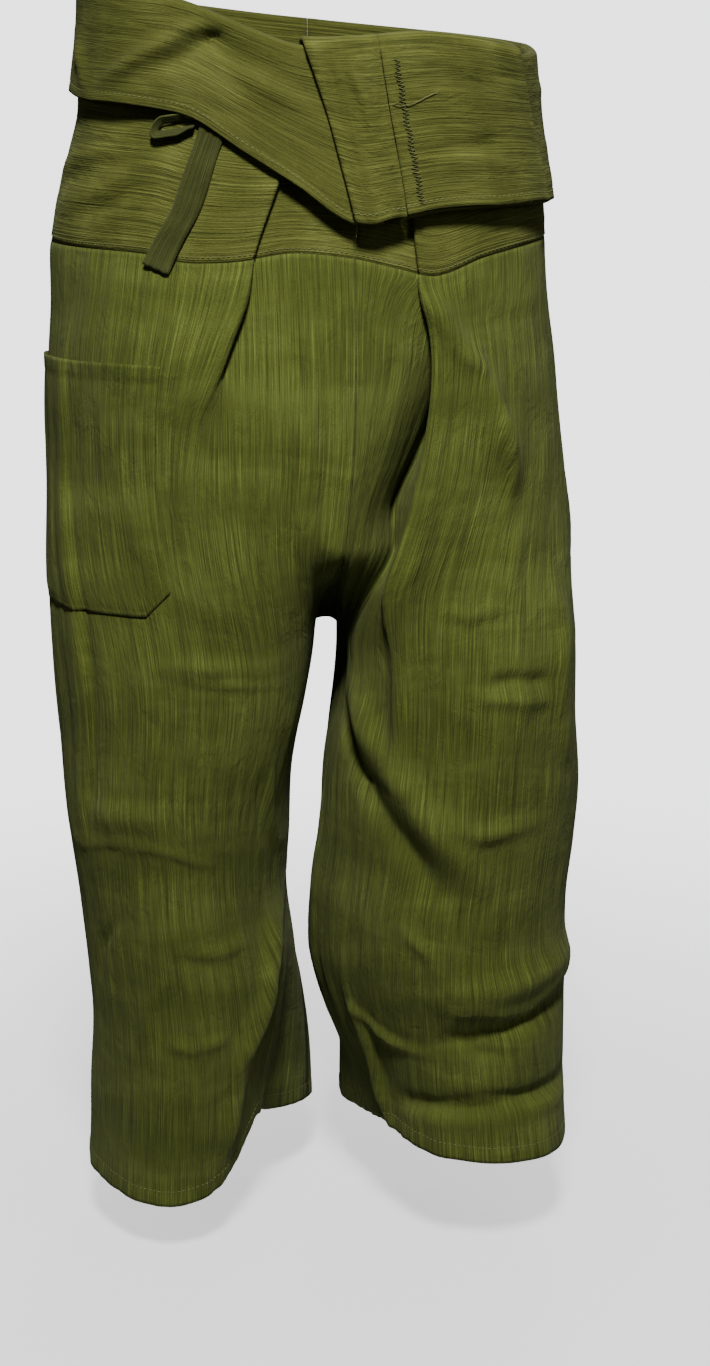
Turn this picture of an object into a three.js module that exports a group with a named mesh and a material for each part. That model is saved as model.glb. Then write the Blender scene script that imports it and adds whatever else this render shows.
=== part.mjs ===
// Thai fisherman pants, worn: two wide legs, pleated over the front, a waistband folded down over the tie.
// Millimetres, +Z up, -Y is the front, +X is the wearer's left. The origin is the middle of the waist
// at the height of the tie.
import * as THREE from "three";

// Driving sizes
const CLOTH = 1.2;
const SEAM_GAP = 0.3;
const LAYER_PITCH = 3.4;
const CUT_WIDTH = 620;
const TIE_THICKNESS = 1.4;
const TIE_WIDTH = 21;
const TIE_START = -19;
const LOOP_THICKNESS = 1;
const LOOP_WIDTH = 10.4;
const LOOP_STRAND = 30;
const LOOP_RADIUS = 5.2;
const POCKET_LIFT = 2;
const POCKET_CORNER_STEP = 0.32;
const POCKET_TOP_LEVEL = -183;
const POCKET_BOTTOM_LEVEL = -378;
const FLAP_SPREAD_FRONT = 20;
const FLAP_SPREAD_SIDE = 9;
const FLAP_SHORTER = 0.3;
const GUSSET_GAP = 0.8;
const BLEND_TOP = -322;
const BLEND_TOP_AWAY = 76;
const BLEND_END_AWAY = 60;
const CORNER_LEVEL = -420;
const SEAM_SHAPE_END = -200;
const HEM_SHAPE_START = -620;
const FOLD_START = -140;
const GUSSET_LEVEL = -336;
const GUSSET_BULGE = 1.1;
const SEAM_LEVEL = -105;
const LEG_RADIUS = 100;
const TAIL_SLANT = 8;
const LOOP_SLANT = 0.1;
const LOOP_START = -24.5;
const LOOP_MIDDLE = -6.5;
const LOOP_OUT = 10.6;
const LOOP_LEAN = 0.5;
const LOOP_SKEW = 0.05;
const LOOP_NECK = 0.45;
const LOOP_NECK_LENGTH = 14;
const LOOP_STOPS = [0, 4.5, 9, 14, 22];
const DEG = Math.PI / 180;
const MM_PER_DEGREE = 3.4;

// Body oval by height: the ring that the cloth hangs round at the waist and the hips
const BODY = [
  { z: 112, cx: 0, cy: 0, half_width: 167, half_depth: 110 },
  { z: 60, cx: 0, cy: 0, half_width: 169, half_depth: 112 },
  { z: 20, cx: -1, cy: 0, half_width: 175, half_depth: 114 },
  { z: 0, cx: -1, cy: 0, half_width: 177, half_depth: 114 },
  { z: -25, cx: -2, cy: 0, half_width: 183, half_depth: 116 },
  { z: -60, cx: -4, cy: 0, half_width: 191, half_depth: 119 },
  { z: -95, cx: -6, cy: 1, half_width: 195, half_depth: 122 },
  { z: -142, cx: -5, cy: 2, half_width: 198, half_depth: 126 },
  { z: -182, cx: -4, cy: 2, half_width: 202, half_depth: 129 },
  { z: -222, cx: -3, cy: 2, half_width: 206, half_depth: 131 },
  { z: -263, cx: -1, cy: 2, half_width: 209, half_depth: 132 },
  { z: -305, cx: 0, cy: 2, half_width: 211, half_depth: 132 },
  { z: -355, cx: 1, cy: 1, half_width: 214, half_depth: 131 },
  { z: -430, cx: 4, cy: 0, half_width: 216, half_depth: 128 },
];

// Heights of the yoke seam, top fold, flap hem and tie by angle round the waist:
// 0 is the front, + the wearer's left
const EDGES = [
  { at: -180, seam: -96, top: 82, hem: -22, tie: 20 },
  { at: -135, seam: -95, top: 94, hem: 4, tie: 30 },
  { at: -90, seam: -94, top: 98, hem: 20, tie: 38 },
  { at: -52, seam: -98, top: 93, hem: 10, tie: 30 },
  { at: -34, seam: -101, top: 88, hem: 5, tie: 24 },
  { at: -24, seam: -107, top: 80, hem: -2, tie: 15 },
  { at: -12, seam: -106, top: 66, hem: -24, tie: 5 },
  { at: 0, seam: -100, top: 54, hem: -48, tie: 0 },
  { at: 13, seam: -104, top: 54, hem: -77, tie: 0 },
  { at: 24, seam: -112, top: 57, hem: -73, tie: 0 },
  { at: 32, seam: -117, top: 58, hem: -68, tie: 0 },
  { at: 46, seam: -104, top: 56, hem: -65, tie: 0 },
  { at: 66, seam: -95, top: 51, hem: -63, tie: 0 },
  { at: 90, seam: -92, top: 54, hem: -60, tie: 0 },
  { at: 135, seam: -94, top: 68, hem: -45, tie: 8 },
  { at: 180, seam: -96, top: 82, hem: -22, tie: 20 },
];

// Pleat lines of the waistband, in degrees round the waist, from the yoke seam up over the top to the hem
const BAND_PLEATS = [
  { v: 0.0, front: 13.5, right_inner: -16.4, right_outer: -8.5, left_inner: 55, left_outer: 28 },
  { v: 0.5, front: 18, right_inner: 0.5, right_outer: 6, left_inner: 61, left_outer: 23 },
  { v: 1.0, front: 24, right_inner: 13, right_outer: 19, left_inner: 69, left_outer: 24.5 },
];

// Where the front seam runs, in degrees round the body
const FRONT_SEAM = [
  { z: -90, at: 13.5 },
  { z: -125, at: 13.5 },
  { z: -170, at: 13 },
  { z: -230, at: 12 },
  { z: -290, at: 10 },
  { z: -355, at: 7.7 },
  { z: -430, at: 6 },
];

// Right leg below the yoke: how far the small pleat has opened and how far the front step stands out
const RIGHT_HIP = [
  { z: -90, open: 0, pitch: 3.4, rise: 0, step: 0 },
  { z: -125, open: 0.06, pitch: 4.4, rise: 0.5, step: 2 },
  { z: -170, open: 0.36, pitch: 6, rise: 5, step: 5 },
  { z: -200, open: 0.6, pitch: 7, rise: 8, step: 7 },
  { z: -230, open: 0.82, pitch: 7, rise: 9, step: 8 },
  { z: -290, open: 1, pitch: 5, rise: 4, step: 9 },
  { z: -355, open: 1, pitch: 3.4, rise: 0, step: 8 },
  { z: -430, open: 1, pitch: 3.4, rise: 0, step: 0 },
];

// Left leg below the yoke: the deep pleat opens into a hollow with a lip on each side
const LEFT_HIP = [
  { z: -90, lip: 34, lip_out: 0, bottom: 55, bottom_out: 1.7, turn: 1.7, edge: 28, edge_out: 5.1, roll: 1.7 },
  { z: -122, lip: 31, lip_out: 0, bottom: 54, bottom_out: 0, turn: 2, edge: 28, edge_out: 6, roll: 2 },
  { z: -150, lip: 26, lip_out: 0, bottom: 50, bottom_out: -10, turn: 3, edge: 29.5, edge_out: 7, roll: 3 },
  { z: -190, lip: 24, lip_out: 0, bottom: 43, bottom_out: -26, turn: 4, edge: 29.5, edge_out: 7, roll: 3 },
  { z: -232, lip: 20.5, lip_out: 0, bottom: 36, bottom_out: -38, turn: 5, edge: 27.5, edge_out: 6, roll: 3 },
  { z: -290, lip: 14.5, lip_out: 0, bottom: 25, bottom_out: -42, turn: 5, edge: 23, edge_out: 5, roll: 3 },
  { z: -330, lip: 12, lip_out: 0, bottom: 23, bottom_out: -32, turn: 4, edge: 19, edge_out: 4, roll: 3 },
  { z: -365, lip: 10, lip_out: 0, bottom: 20, bottom_out: -14, turn: 3, edge: 16, edge_out: 2, roll: 2 },
  { z: -430, lip: 10, lip_out: 0, bottom: 18, bottom_out: -6, turn: 2.4, edge: 14, edge_out: 1, roll: 2 },
];

// Leg sections: middle of the leg and the radius in eight directions, in is towards the other leg
const RIGHT_SECTIONS = [
  { z: -300, cx: -104, cy: -18, in: 112, fi: 132, fr: 113, fo: 112, out: 108, bo: 106, ba: 114, bi: 122 },
  { z: -425, cx: -104, cy: -14, in: 105, fi: 127, fr: 111, fo: 108, out: 108, bo: 108, ba: 118, bi: 130 },
  { z: -530, cx: -111, cy: -14, in: 94, fi: 108, fr: 104, fo: 100, out: 94, bo: 99, ba: 108, bi: 116 },
  { z: -590, cx: -109, cy: -12, in: 90, fi: 94, fr: 98, fo: 97, out: 91, bo: 95, ba: 103, bi: 107 },
  { z: -640, cx: -108, cy: -6, in: 86, fi: 93, fr: 101, fo: 96, out: 87, bo: 92, ba: 101, bi: 102 },
  { z: -700, cx: -103, cy: 2, in: 84, fi: 97, fr: 103, fo: 97, out: 87, bo: 91, ba: 102, bi: 104 },
  { z: -760, cx: -100, cy: 8, in: 77, fi: 90, fr: 106, fo: 98, out: 88, bo: 91, ba: 104, bi: 116 },
  { z: -820, cx: -101, cy: 12, in: 69, fi: 77, fr: 107, fo: 100, out: 92, bo: 90, ba: 103, bi: 128 },
  { z: -900, cx: -104, cy: 14, in: 58, fi: 62, fr: 105, fo: 102, out: 95, bo: 90, ba: 101, bi: 136 },
];
const LEFT_SECTIONS = [
  { z: -300, cx: 116, cy: -18, in: 100, fi: 116, fr: 114, fo: 112, out: 100, bo: 106, ba: 114, bi: 118 },
  { z: -425, cx: 122, cy: -14, in: 88, fi: 104, fr: 110, fo: 110, out: 100, bo: 107, ba: 118, bi: 121 },
  { z: -530, cx: 120, cy: -14, in: 106, fi: 103, fr: 106, fo: 108, out: 108, bo: 102, ba: 108, bi: 117 },
  { z: -590, cx: 117, cy: -12, in: 108, fi: 99, fr: 102, fo: 106, out: 109, bo: 99, ba: 102, bi: 109 },
  { z: -640, cx: 112, cy: -8, in: 108, fi: 100, fr: 106, fo: 108, out: 109, bo: 97, ba: 98, bi: 103 },
  { z: -700, cx: 111, cy: -2, in: 106, fi: 98, fr: 108, fo: 110, out: 110, bo: 95, ba: 95, bi: 99 },
  { z: -760, cx: 114, cy: 4, in: 96, fi: 84, fr: 100, fo: 112, out: 107, bo: 94, ba: 96, bi: 104 },
  { z: -800, cx: 117, cy: 8, in: 84, fi: 75, fr: 103, fo: 115, out: 104, bo: 94, ba: 98, bi: 112 },
  { z: -860, cx: 120, cy: 10, in: 72, fi: 70, fr: 108, fo: 120, out: 102, bo: 92, ba: 98, bi: 120 },
];

// Hem height by direction round the leg: 0 is towards the other leg, 90 the front, 180 the outer side
const RIGHT_HEM = [
  { at: -90, z: -896 }, { at: -45, z: -884 }, { at: 0, z: -862 }, { at: 40, z: -848 }, { at: 60, z: -880 },
  { at: 90, z: -900 }, { at: 135, z: -896 }, { at: 180, z: -893 }, { at: 225, z: -898 }, { at: 270, z: -896 },
];
const LEFT_HEM = [
  { at: -90, z: -890 }, { at: -45, z: -872 }, { at: 0, z: -860 }, { at: 45, z: -848 }, { at: 90, z: -853 },
  { at: 120, z: -858 }, { at: 150, z: -862 }, { at: 180, z: -853 }, { at: 225, z: -872 },
  { at: 270, z: -890 },
];

// How the cut width of each leg goes round it: share of the width and the direction it meets
const RIGHT_ROUND = [
  { s: 0, at: -30 }, { s: 0.05, at: 28 }, { s: 0.16, at: 58 }, { s: 0.3, at: 98 }, { s: 0.5, at: 165 },
  { s: 0.75, at: 250 }, { s: 1, at: 330 },
];
const LEFT_ROUND = [
  { s: 0, at: -30 }, { s: 0.1, at: 2 }, { s: 0.2, at: 30 }, { s: 0.33, at: 62 }, { s: 0.5, at: 118 },
  { s: 0.62, at: 180 }, { s: 0.8, at: 250 }, { s: 1, at: 330 },
];

// Heights of the rows of each leg, from the yoke seam to the hem
const HIP_LEVELS = [-105, -115, -129, -146, -164, -183, -208, -234, -260, -286, -308, -326];
const CROTCH_LEVELS = [-336, -348, -362, -378, -394, -408, -420];
const LEG_LEVELS = [
  -442, -470, -500, -528, -556, -584, -612, -640, -668, -696, -722, -748, -774, -800, -826, -850, -872, -895,
];

// Largest folds: share of the cut width and height at both ends, half width and height of the fold
const RIGHT_FOLDS = [
  { s1: 0.05, z1: -655, s2: 0.185, z2: -780, wide: 13, high: 7 },
  { s1: 0.172, z1: -765, s2: 0.215, z2: -890, wide: 13, high: 5 },
  { s1: 0.28, z1: -573, s2: 0.42, z2: -576, wide: 9, high: -5 },
  { s1: 0.29, z1: -545, s2: 0.4, z2: -548, wide: 13, high: 4 },
  { s1: 0.385, z1: -370, s2: 0.4, z2: -560, wide: 10, high: -4 },
  { s1: 0.7, z1: -560, s2: 0.85, z2: -610, wide: 14, high: -6 },
  { s1: 0.66, z1: -300, s2: 0.8, z2: -380, wide: 16, high: 5 },
];
const LEFT_FOLDS = [
  { s1: 0.2, z1: -440, s2: 0.35, z2: -520, wide: 15, high: 8 },
  { s1: 0.33, z1: -510, s2: 0.47, z2: -605, wide: 15, high: 9 },
  { s1: 0.16, z1: -470, s2: 0.3, z2: -540, wide: 12, high: -8 },
  { s1: 0.29, z1: -535, s2: 0.42, z2: -612, wide: 12, high: -8 },
  { s1: 0.343, z1: -340, s2: 0.338, z2: -495, wide: 12, high: 6 },
  { s1: 0.33, z1: -128, s2: 0.39, z2: -192, wide: 10, high: 5 },
  { s1: 0.383, z1: -180, s2: 0.45, z2: -275, wide: 12, high: 6 },
  { s1: 0.42, z1: -702, s2: 0.6, z2: -690, wide: 14, high: 10 },
  { s1: 0.42, z1: -744, s2: 0.58, z2: -728, wide: 11, high: -9 },
  { s1: 0.34, z1: -812, s2: 0.58, z2: -804, wide: 10, high: -8 },
  { s1: 0.24, z1: -738, s2: 0.285, z2: -850, wide: 12, high: 6 },
  { s1: 0.72, z1: -560, s2: 0.88, z2: -600, wide: 14, high: -6 },
  { s1: 0.68, z1: -310, s2: 0.82, z2: -390, wide: 16, high: 5 },
];

const mix = (a, b, t) => a + (b - a) * t;
const ease = (a, b, x) => {
  const t = Math.min(1, Math.max(0, (x - a) / (b - a)));
  return t * t * (3 - 2 * t);
};

// Smooth curve through the rows of a table, flat beyond its ends
function along(rows, key, column, x) {
  const up = rows[rows.length - 1][key] > rows[0][key];
  let i = 0;
  while (i < rows.length - 2 && (up ? x > rows[i + 1][key] : x < rows[i + 1][key])) {
    i += 1;
  }
  const slope = (k) => {
    const a = rows[Math.max(0, k - 1)];
    const b = rows[Math.min(rows.length - 1, k + 1)];
    return (b[column] - a[column]) / (b[key] - a[key]);
  };
  const a = rows[i];
  const b = rows[i + 1];
  const span = b[key] - a[key];
  const t = Math.min(1, Math.max(0, (x - a[key]) / span));
  const t2 = t * t;
  const t3 = t2 * t;
  return (2 * t3 - 3 * t2 + 1) * a[column] + (t3 - 2 * t2 + t) * slope(i) * span
    + (3 * t2 - 2 * t3) * b[column] + (t3 - t2) * slope(i + 1) * span;
}

// Point of the body oval at an angle, moved outwards by a distance
function ovalPoint(degrees, height, out) {
  const cx = along(BODY, "z", "cx", height);
  const cy = along(BODY, "z", "cy", height);
  const a = along(BODY, "z", "half_width", height);
  const b = along(BODY, "z", "half_depth", height);
  const turn = degrees * DEG;
  const nx = Math.sin(turn) / a;
  const ny = -Math.cos(turn) / b;
  const n = Math.hypot(nx, ny);
  return [cx + a * Math.sin(turn) + out * nx / n, cy - b * Math.cos(turn) + out * ny / n];
}

// A pleat as a path of points {s, at, out}; a half turn is five points round its tip
function halfTurn(s, half, tip, side, out, radius) {
  const points = [];
  for (let k = -2; k <= 2; k += 1) {
    const turn = k * 45 * DEG;
    points.push({
      s: s + half * k / 2,
      at: tip + side * (1 - Math.cos(turn)) * radius / MM_PER_DEGREE,
      out: out + Math.sin(turn) * radius,
    });
  }
  return points;
}

function onPath(path, s) {
  let i = 0;
  while (i < path.length - 2 && s > path[i + 1].s) {
    i += 1;
  }
  const t = Math.min(1, Math.max(0, (s - path[i].s) / (path[i + 1].s - path[i].s)));
  return { at: mix(path[i].at, path[i + 1].at, t), out: mix(path[i].out, path[i + 1].out, t) };
}

const RIGHT_INNER_S = 0.16;
const RIGHT_OUTER_S = 0.205;
const LEFT_LIP_S = 0.1;
const LEFT_INNER_S = 0.2;
const LEFT_OUTER_S = 0.33;
const TURN_S = 0.004;
const SIDE_S = 0.55;
const POCKET_FRONT_S = 0.25;
const POCKET_FRONT_AT = -31;
const POCKET_BACK_S = 0.52;
const SIDE_AT = 96;
const SIDE_PULL = 5;

// Right side from the pleat to the side: share of the way round, and how far it stands out in pleat layers
const RIGHT_SIDE = [
  { s: POCKET_FRONT_S, way: 0.22, layers: 1.8, rises: 0.9 },
  { s: 0.36, way: 0.54, layers: 1.3, rises: 0.6 },
];

// Where the front step starts and fades, and where each leg is gathered to the gusset, as shares of the width
const STEP_RANGE = { start: 0.035, full: 0.05, fade: 0.18, end: 0.5 };
const GATHER = {
  right: { start: 0, end: 0.14, back: 0.88 },
  left: { start: 0.34, end: 0.46, back: 0.88 },
};

function rightPath(front, inner, outer, pitch, rise) {
  const r = pitch / 2;
  return [
    { s: 0, at: front, out: 0 },
    ...halfTurn(RIGHT_INNER_S, TURN_S, inner, 1, r, r),
    ...halfTurn(RIGHT_OUTER_S, TURN_S, outer, -1, 3 * r + rise, r),
    ...RIGHT_SIDE.map((row) => ({
      s: row.s,
      at: mix(outer, -90, row.way),
      out: row.layers * pitch + row.rises * rise,
    })),
    { s: SIDE_S, at: -SIDE_AT, out: 0 },
    { s: 1, at: -180, out: 0 },
  ];
}

function leftPath(row) {
  return [
    { s: 0, at: row.front, out: 0 },
    { s: LEFT_LIP_S - 0.012, at: row.lip - 1.4, out: row.lip_out },
    { s: LEFT_LIP_S, at: row.lip, out: row.lip_out * 0.8 + row.bottom_out * 0.05 },
    ...halfTurn(LEFT_INNER_S, TURN_S, row.bottom, -1, row.bottom_out, row.turn),
    ...halfTurn(LEFT_OUTER_S, TURN_S, row.edge, 1, row.edge_out, row.roll),
    { s: 0.47, at: Math.max(row.bottom + 5, mix(row.edge, 90, 0.42)), out: row.edge_out + row.roll },
    { s: 0.64, at: 97, out: 0 },
    { s: 1, at: 180, out: 0 },
  ];
}

// Pleat path of either waistband at v, 0 at the yoke seam, 0.5 at the top and 1 at the flap hem
function bandPath(side, v) {
  const row = (name) => along(BAND_PLEATS, "v", name, v);
  const r = LAYER_PITCH / 2;
  if (side === "right") {
    return rightPath(row("front"), row("right_inner"), row("right_outer"), LAYER_PITCH, 0);
  }
  return leftPath({
    front: row("front"), lip: mix(row("front"), row("left_inner"), 0.5), lip_out: 0,
    bottom: row("left_inner"), bottom_out: r, turn: r, edge: row("left_outer"), edge_out: 3 * r, roll: r,
  });
}

// Pleat path of either leg below the yoke
function hipPath(side, z) {
  const front = along(FRONT_SEAM, "z", "at", z);
  if (side === "right") {
    const row = (name) => along(RIGHT_HIP, "z", name, z);
    const opened = Math.min(1, Math.max(0, row("open")));
    const first = BAND_PLEATS[0];
    const folded = rightPath(front, first.right_inner, first.right_outer, row("pitch"), row("rise"));
    return folded.map((p) => {
      const pulled = p.at - SIDE_PULL * opened * (1 - ease(POCKET_FRONT_S, SIDE_S, p.s));
      const flat = mix(front, POCKET_FRONT_AT, Math.min(1, p.s / POCKET_FRONT_S));
      const rise = ease(STEP_RANGE.start, STEP_RANGE.full, p.s);
      const step = rise * (1 - ease(STEP_RANGE.fade, STEP_RANGE.end, p.s));
      return {
        s: p.s,
        at: p.s > RIGHT_OUTER_S + 2 * TURN_S ? pulled : mix(p.at, flat, opened),
        out: p.out * (1 - opened) + row("step") * step,
      };
    });
  }
  const names = Object.keys(LEFT_HIP[0]);
  const row = { front };
  names.forEach((name) => {
    row[name] = along(LEFT_HIP, "z", name, z);
  });
  return leftPath(row);
}

// Ring of a leg: position at the share s of its cut width
function legRing(side, s, z) {
  const sections = side === "right" ? RIGHT_SECTIONS : LEFT_SECTIONS;
  const round = side === "right" ? RIGHT_ROUND : LEFT_ROUND;
  const slit = (s < 0.5 ? 1 : -1) * SEAM_GAP / 2 / LEG_RADIUS / DEG * (s === 0 || s === 1 ? 1 : 0);
  const bearing = along(round, "s", "at", s) + slit;
  const names = ["in", "fi", "fr", "fo", "out", "bo", "ba", "bi"];
  const turn = ((bearing % 360) + 360) % 360 / 45;
  const k = Math.floor(turn);
  const t = turn - k;
  const r = (j) => along(sections, "z", names[(j + 16) % 8], z);
  const radius = 0.5 * (2 * r(k) + (r(k + 1) - r(k - 1)) * t
    + (2 * r(k - 1) - 5 * r(k) + 4 * r(k + 1) - r(k + 2)) * t * t
    + (3 * r(k) - r(k - 1) - 3 * r(k + 1) + r(k + 2)) * t * t * t);
  const inward = side === "right" ? 1 : -1;
  const cx = along(sections, "z", "cx", z);
  const cy = along(sections, "z", "cy", z);
  return [cx + inward * radius * Math.cos(bearing * DEG), cy - radius * Math.sin(bearing * DEG), bearing];
}

function foldHeight(folds, s, z) {
  let sum = 0;
  folds.forEach((fold) => {
    const ax = fold.s1 * CUT_WIDTH;
    const bx = fold.s2 * CUT_WIDTH;
    const dx = bx - ax;
    const dz = fold.z2 - fold.z1;
    const t = ((s * CUT_WIDTH - ax) * dx + (z - fold.z1) * dz) / (dx * dx + dz * dz);
    const c = Math.min(1, Math.max(0, t));
    const d = Math.hypot(s * CUT_WIDTH - ax - c * dx, z - fold.z1 - c * dz) / fold.wide;
    const fade = Math.sin(Math.PI * Math.min(1, Math.max(0, mix(0.12, 0.88, t))));
    sum += fold.high * Math.exp(-d * d) * fade;
  });
  return sum;
}

function hemOf(side, bearing) {
  const turned = bearing > 270 ? bearing - 360 : bearing;
  return along(side === "right" ? RIGHT_HEM : LEFT_HEM, "at", "z", turned);
}

// Which way an edge column moves round the body to leave the seam's gap
function edgeSide(side, s) {
  const outward = side === "right" ? -1 : 1;
  if (s === 0) {
    return outward;
  }
  return s === 1 ? -outward : 0;
}

// Middle surface of a leg at the share s of its cut width and the level of a row
function legPoint(side, s, level) {
  const top = bandPath(side, 0);
  const seamAngle = onPath(top, s).at;
  const seamHeight = along(EDGES, "at", "seam", seamAngle) - SEAM_GAP / 2;
  const bearing = along(side === "right" ? RIGHT_ROUND : LEFT_ROUND, "s", "at", s);
  const hemLevel = LEG_LEVELS[LEG_LEVELS.length - 1];
  let z = level;
  z += (seamHeight - SEAM_LEVEL) * (1 - ease(SEAM_LEVEL, SEAM_SHAPE_END, level));
  z += (hemOf(side, bearing) - hemLevel) * ease(HEM_SHAPE_START, hemLevel, level);
  const gather = GATHER[side];
  const away = ease(gather.start, gather.end, s) * ease(1, gather.back, s);
  const blend = ease(BLEND_TOP + BLEND_TOP_AWAY * away, CORNER_LEVEL - BLEND_END_AWAY * away, z);
  const onSeam = level === SEAM_LEVEL;
  const p = onPath(onSeam ? top : hipPath(side, Math.min(z, SEAM_LEVEL)), s);
  const turn = edgeSide(side, s) * SEAM_GAP / 2 / MM_PER_DEGREE;
  const hip = ovalPoint(p.at + turn, onSeam ? seamHeight + SEAM_GAP / 2 : z, p.out);
  const ring = legRing(side, s, z);
  return [mix(hip[0], ring[0], blend), mix(hip[1], ring[1], blend), z];
}

const subtract = (a, b) => [a[0] - b[0], a[1] - b[1], a[2] - b[2]];
const cross = (a, b) => [a[1] * b[2] - a[2] * b[1], a[2] * b[0] - a[0] * b[2], a[0] * b[1] - a[1] * b[0]];
const unit = (a) => {
  const n = Math.hypot(a[0], a[1], a[2]) || 1;
  return [a[0] / n, a[1] / n, a[2] / n];
};

// Outward direction at each point of a grid from its neighbours; sign +1 or -1 picks the outside
function gridNormals(grid, sign, flatRows) {
  const rows = grid.length;
  const cols = grid[0].length;
  return grid.map((line, i) => line.map((point, j) => {
    const level = flatRows.includes(i);
    const across = subtract(line[Math.min(cols - 1, j + 1)], line[Math.max(0, j - 1)]);
    const below = subtract(grid[Math.min(rows - 1, i + 1)][j], grid[Math.max(0, i - 1)][j]);
    const down = level ? [0, 0, -1] : below;
    const n = unit(cross(level ? [across[0], across[1], 0] : across, down));
    return [n[0] * sign, n[1] * sign, n[2] * sign];
  }));
}

// Closed wall of even thickness on both sides of a grid of middle points
function wall(name, colour, grid, normals, thickness) {
  const rows = grid.length;
  const cols = grid[0].length;
  const positions = [];
  [0.5, -0.5].forEach((half) => {
    grid.forEach((line, i) => line.forEach((p, j) => {
      positions.push(...p.map((value, k) => value + normals[i][j][k] * half * thickness));
    }));
  });
  const outer = (i, j) => i * cols + j;
  const inner = (i, j) => rows * cols + i * cols + j;
  const faces = [];
  const quad = (a, b, c, d) => {
    faces.push(a, b, c, a, c, d);
  };
  for (let i = 0; i < rows - 1; i += 1) {
    for (let j = 0; j < cols - 1; j += 1) {
      quad(outer(i, j), outer(i + 1, j), outer(i + 1, j + 1), outer(i, j + 1));
      quad(inner(i, j), inner(i, j + 1), inner(i + 1, j + 1), inner(i + 1, j));
    }
  }
  for (let j = 0; j < cols - 1; j += 1) {
    quad(outer(0, j), outer(0, j + 1), inner(0, j + 1), inner(0, j));
    quad(outer(rows - 1, j), inner(rows - 1, j), inner(rows - 1, j + 1), outer(rows - 1, j + 1));
  }
  for (let i = 0; i < rows - 1; i += 1) {
    quad(outer(i, 0), inner(i, 0), inner(i + 1, 0), outer(i + 1, 0));
    quad(outer(i, cols - 1), outer(i + 1, cols - 1), inner(i + 1, cols - 1), inner(i, cols - 1));
  }
  return makeMesh(name, colour, positions, faces);
}

function makeMesh(name, colour, positions, faces) {
  let volume = 0;
  for (let k = 0; k < faces.length; k += 3) {
    const [a, b, c] = [0, 1, 2].map((m) => positions.slice(faces[k + m] * 3, faces[k + m] * 3 + 3));
    const n = cross(b, c);
    volume += a[0] * n[0] + a[1] * n[1] + a[2] * n[2];
  }
  if (volume < 0) {
    faces.reverse();
  }
  const geometry = new THREE.BufferGeometry();
  geometry.setAttribute("position", new THREE.Float32BufferAttribute(positions, 3));
  geometry.setIndex(faces);
  geometry.computeVertexNormals();
  const material = new THREE.MeshStandardMaterial({ color: colour, roughness: 0.95, metalness: 0 });
  const mesh = new THREE.Mesh(geometry, material);
  mesh.name = name;
  return mesh;
}

// Columns of each leg and waistband as shares of the cut width, closer together round the half turns
const turnColumns = (s) => [-1, -0.5, 0, 0.5, 1].map((k) => s + k * TURN_S);
const RIGHT_COLUMNS = [0, 0.02, 0.035, 0.0425, 0.05, 0.085, 0.12, ...turnColumns(RIGHT_INNER_S), 0.1825,
  ...turnColumns(RIGHT_OUTER_S), 0.23, 0.25, 0.286, 0.322, 0.36, 0.4, 0.44, 0.48, 0.52, 0.56, 0.62, 0.68,
  0.74, 0.8, 0.86, 0.91, 0.96, 1];
const LEFT_COLUMNS = [0, 0.03, 0.06, 0.088, 0.1, 0.13, 0.165, ...turnColumns(LEFT_INNER_S), 0.225, 0.265, 0.3,
  ...turnColumns(LEFT_OUTER_S), 0.36, 0.4, 0.45, 0.5, 0.55, 0.59, 0.63, 0.68, 0.74, 0.8, 0.86, 0.91, 0.96, 1];
const LEVELS = [...HIP_LEVELS, ...CROTCH_LEVELS, ...LEG_LEVELS];

function legGrid(side) {
  const columns = side === "right" ? RIGHT_COLUMNS : LEFT_COLUMNS;
  const folds = side === "right" ? RIGHT_FOLDS : LEFT_FOLDS;
  const sign = side === "right" ? 1 : -1;
  const base = LEVELS.map((level) => columns.map((s) => legPoint(side, s, level)));
  const first = gridNormals(base, sign, [0]);
  const grid = base.map((line, i) => line.map((p, j) => {
    const edge = ease(0, 0.03, columns[j]) * ease(1, 0.97, columns[j]);
    const h = foldHeight(folds, columns[j], p[2]) * edge * ease(SEAM_LEVEL, FOLD_START, LEVELS[i]);
    return [p[0] + first[i][j][0] * h, p[1] + first[i][j][1] * h, p[2]];
  }));
  return { grid, normals: gridNormals(grid, sign, [0]) };
}

const OLIVE = 0x4c511b;
const OLIVE_LIGHT = 0x52541f;
const group = new THREE.Group();
const rightLeg = legGrid("right");
const leftLeg = legGrid("left");
group.add(wall("leg_right", OLIVE, rightLeg.grid, rightLeg.normals, CLOTH));
group.add(wall("leg_left", OLIVE, leftLeg.grid, leftLeg.normals, CLOTH));

// Waistband halves: up the yoke, over the top and down the flap; the flap's layers lie in reverse order
const YOKE_END = 0.46;
const FLAP_START = 0.54;
const YOKE_STEPS = [0, 0.12, 0.3, 0.5, 0.72, 0.9];
const TURN_STEPS = [0, 45, 90, 135, 180];
const FLAP_STEPS = [0.12, 0.3, 0.5, 0.7, 0.88, 1];

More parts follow.
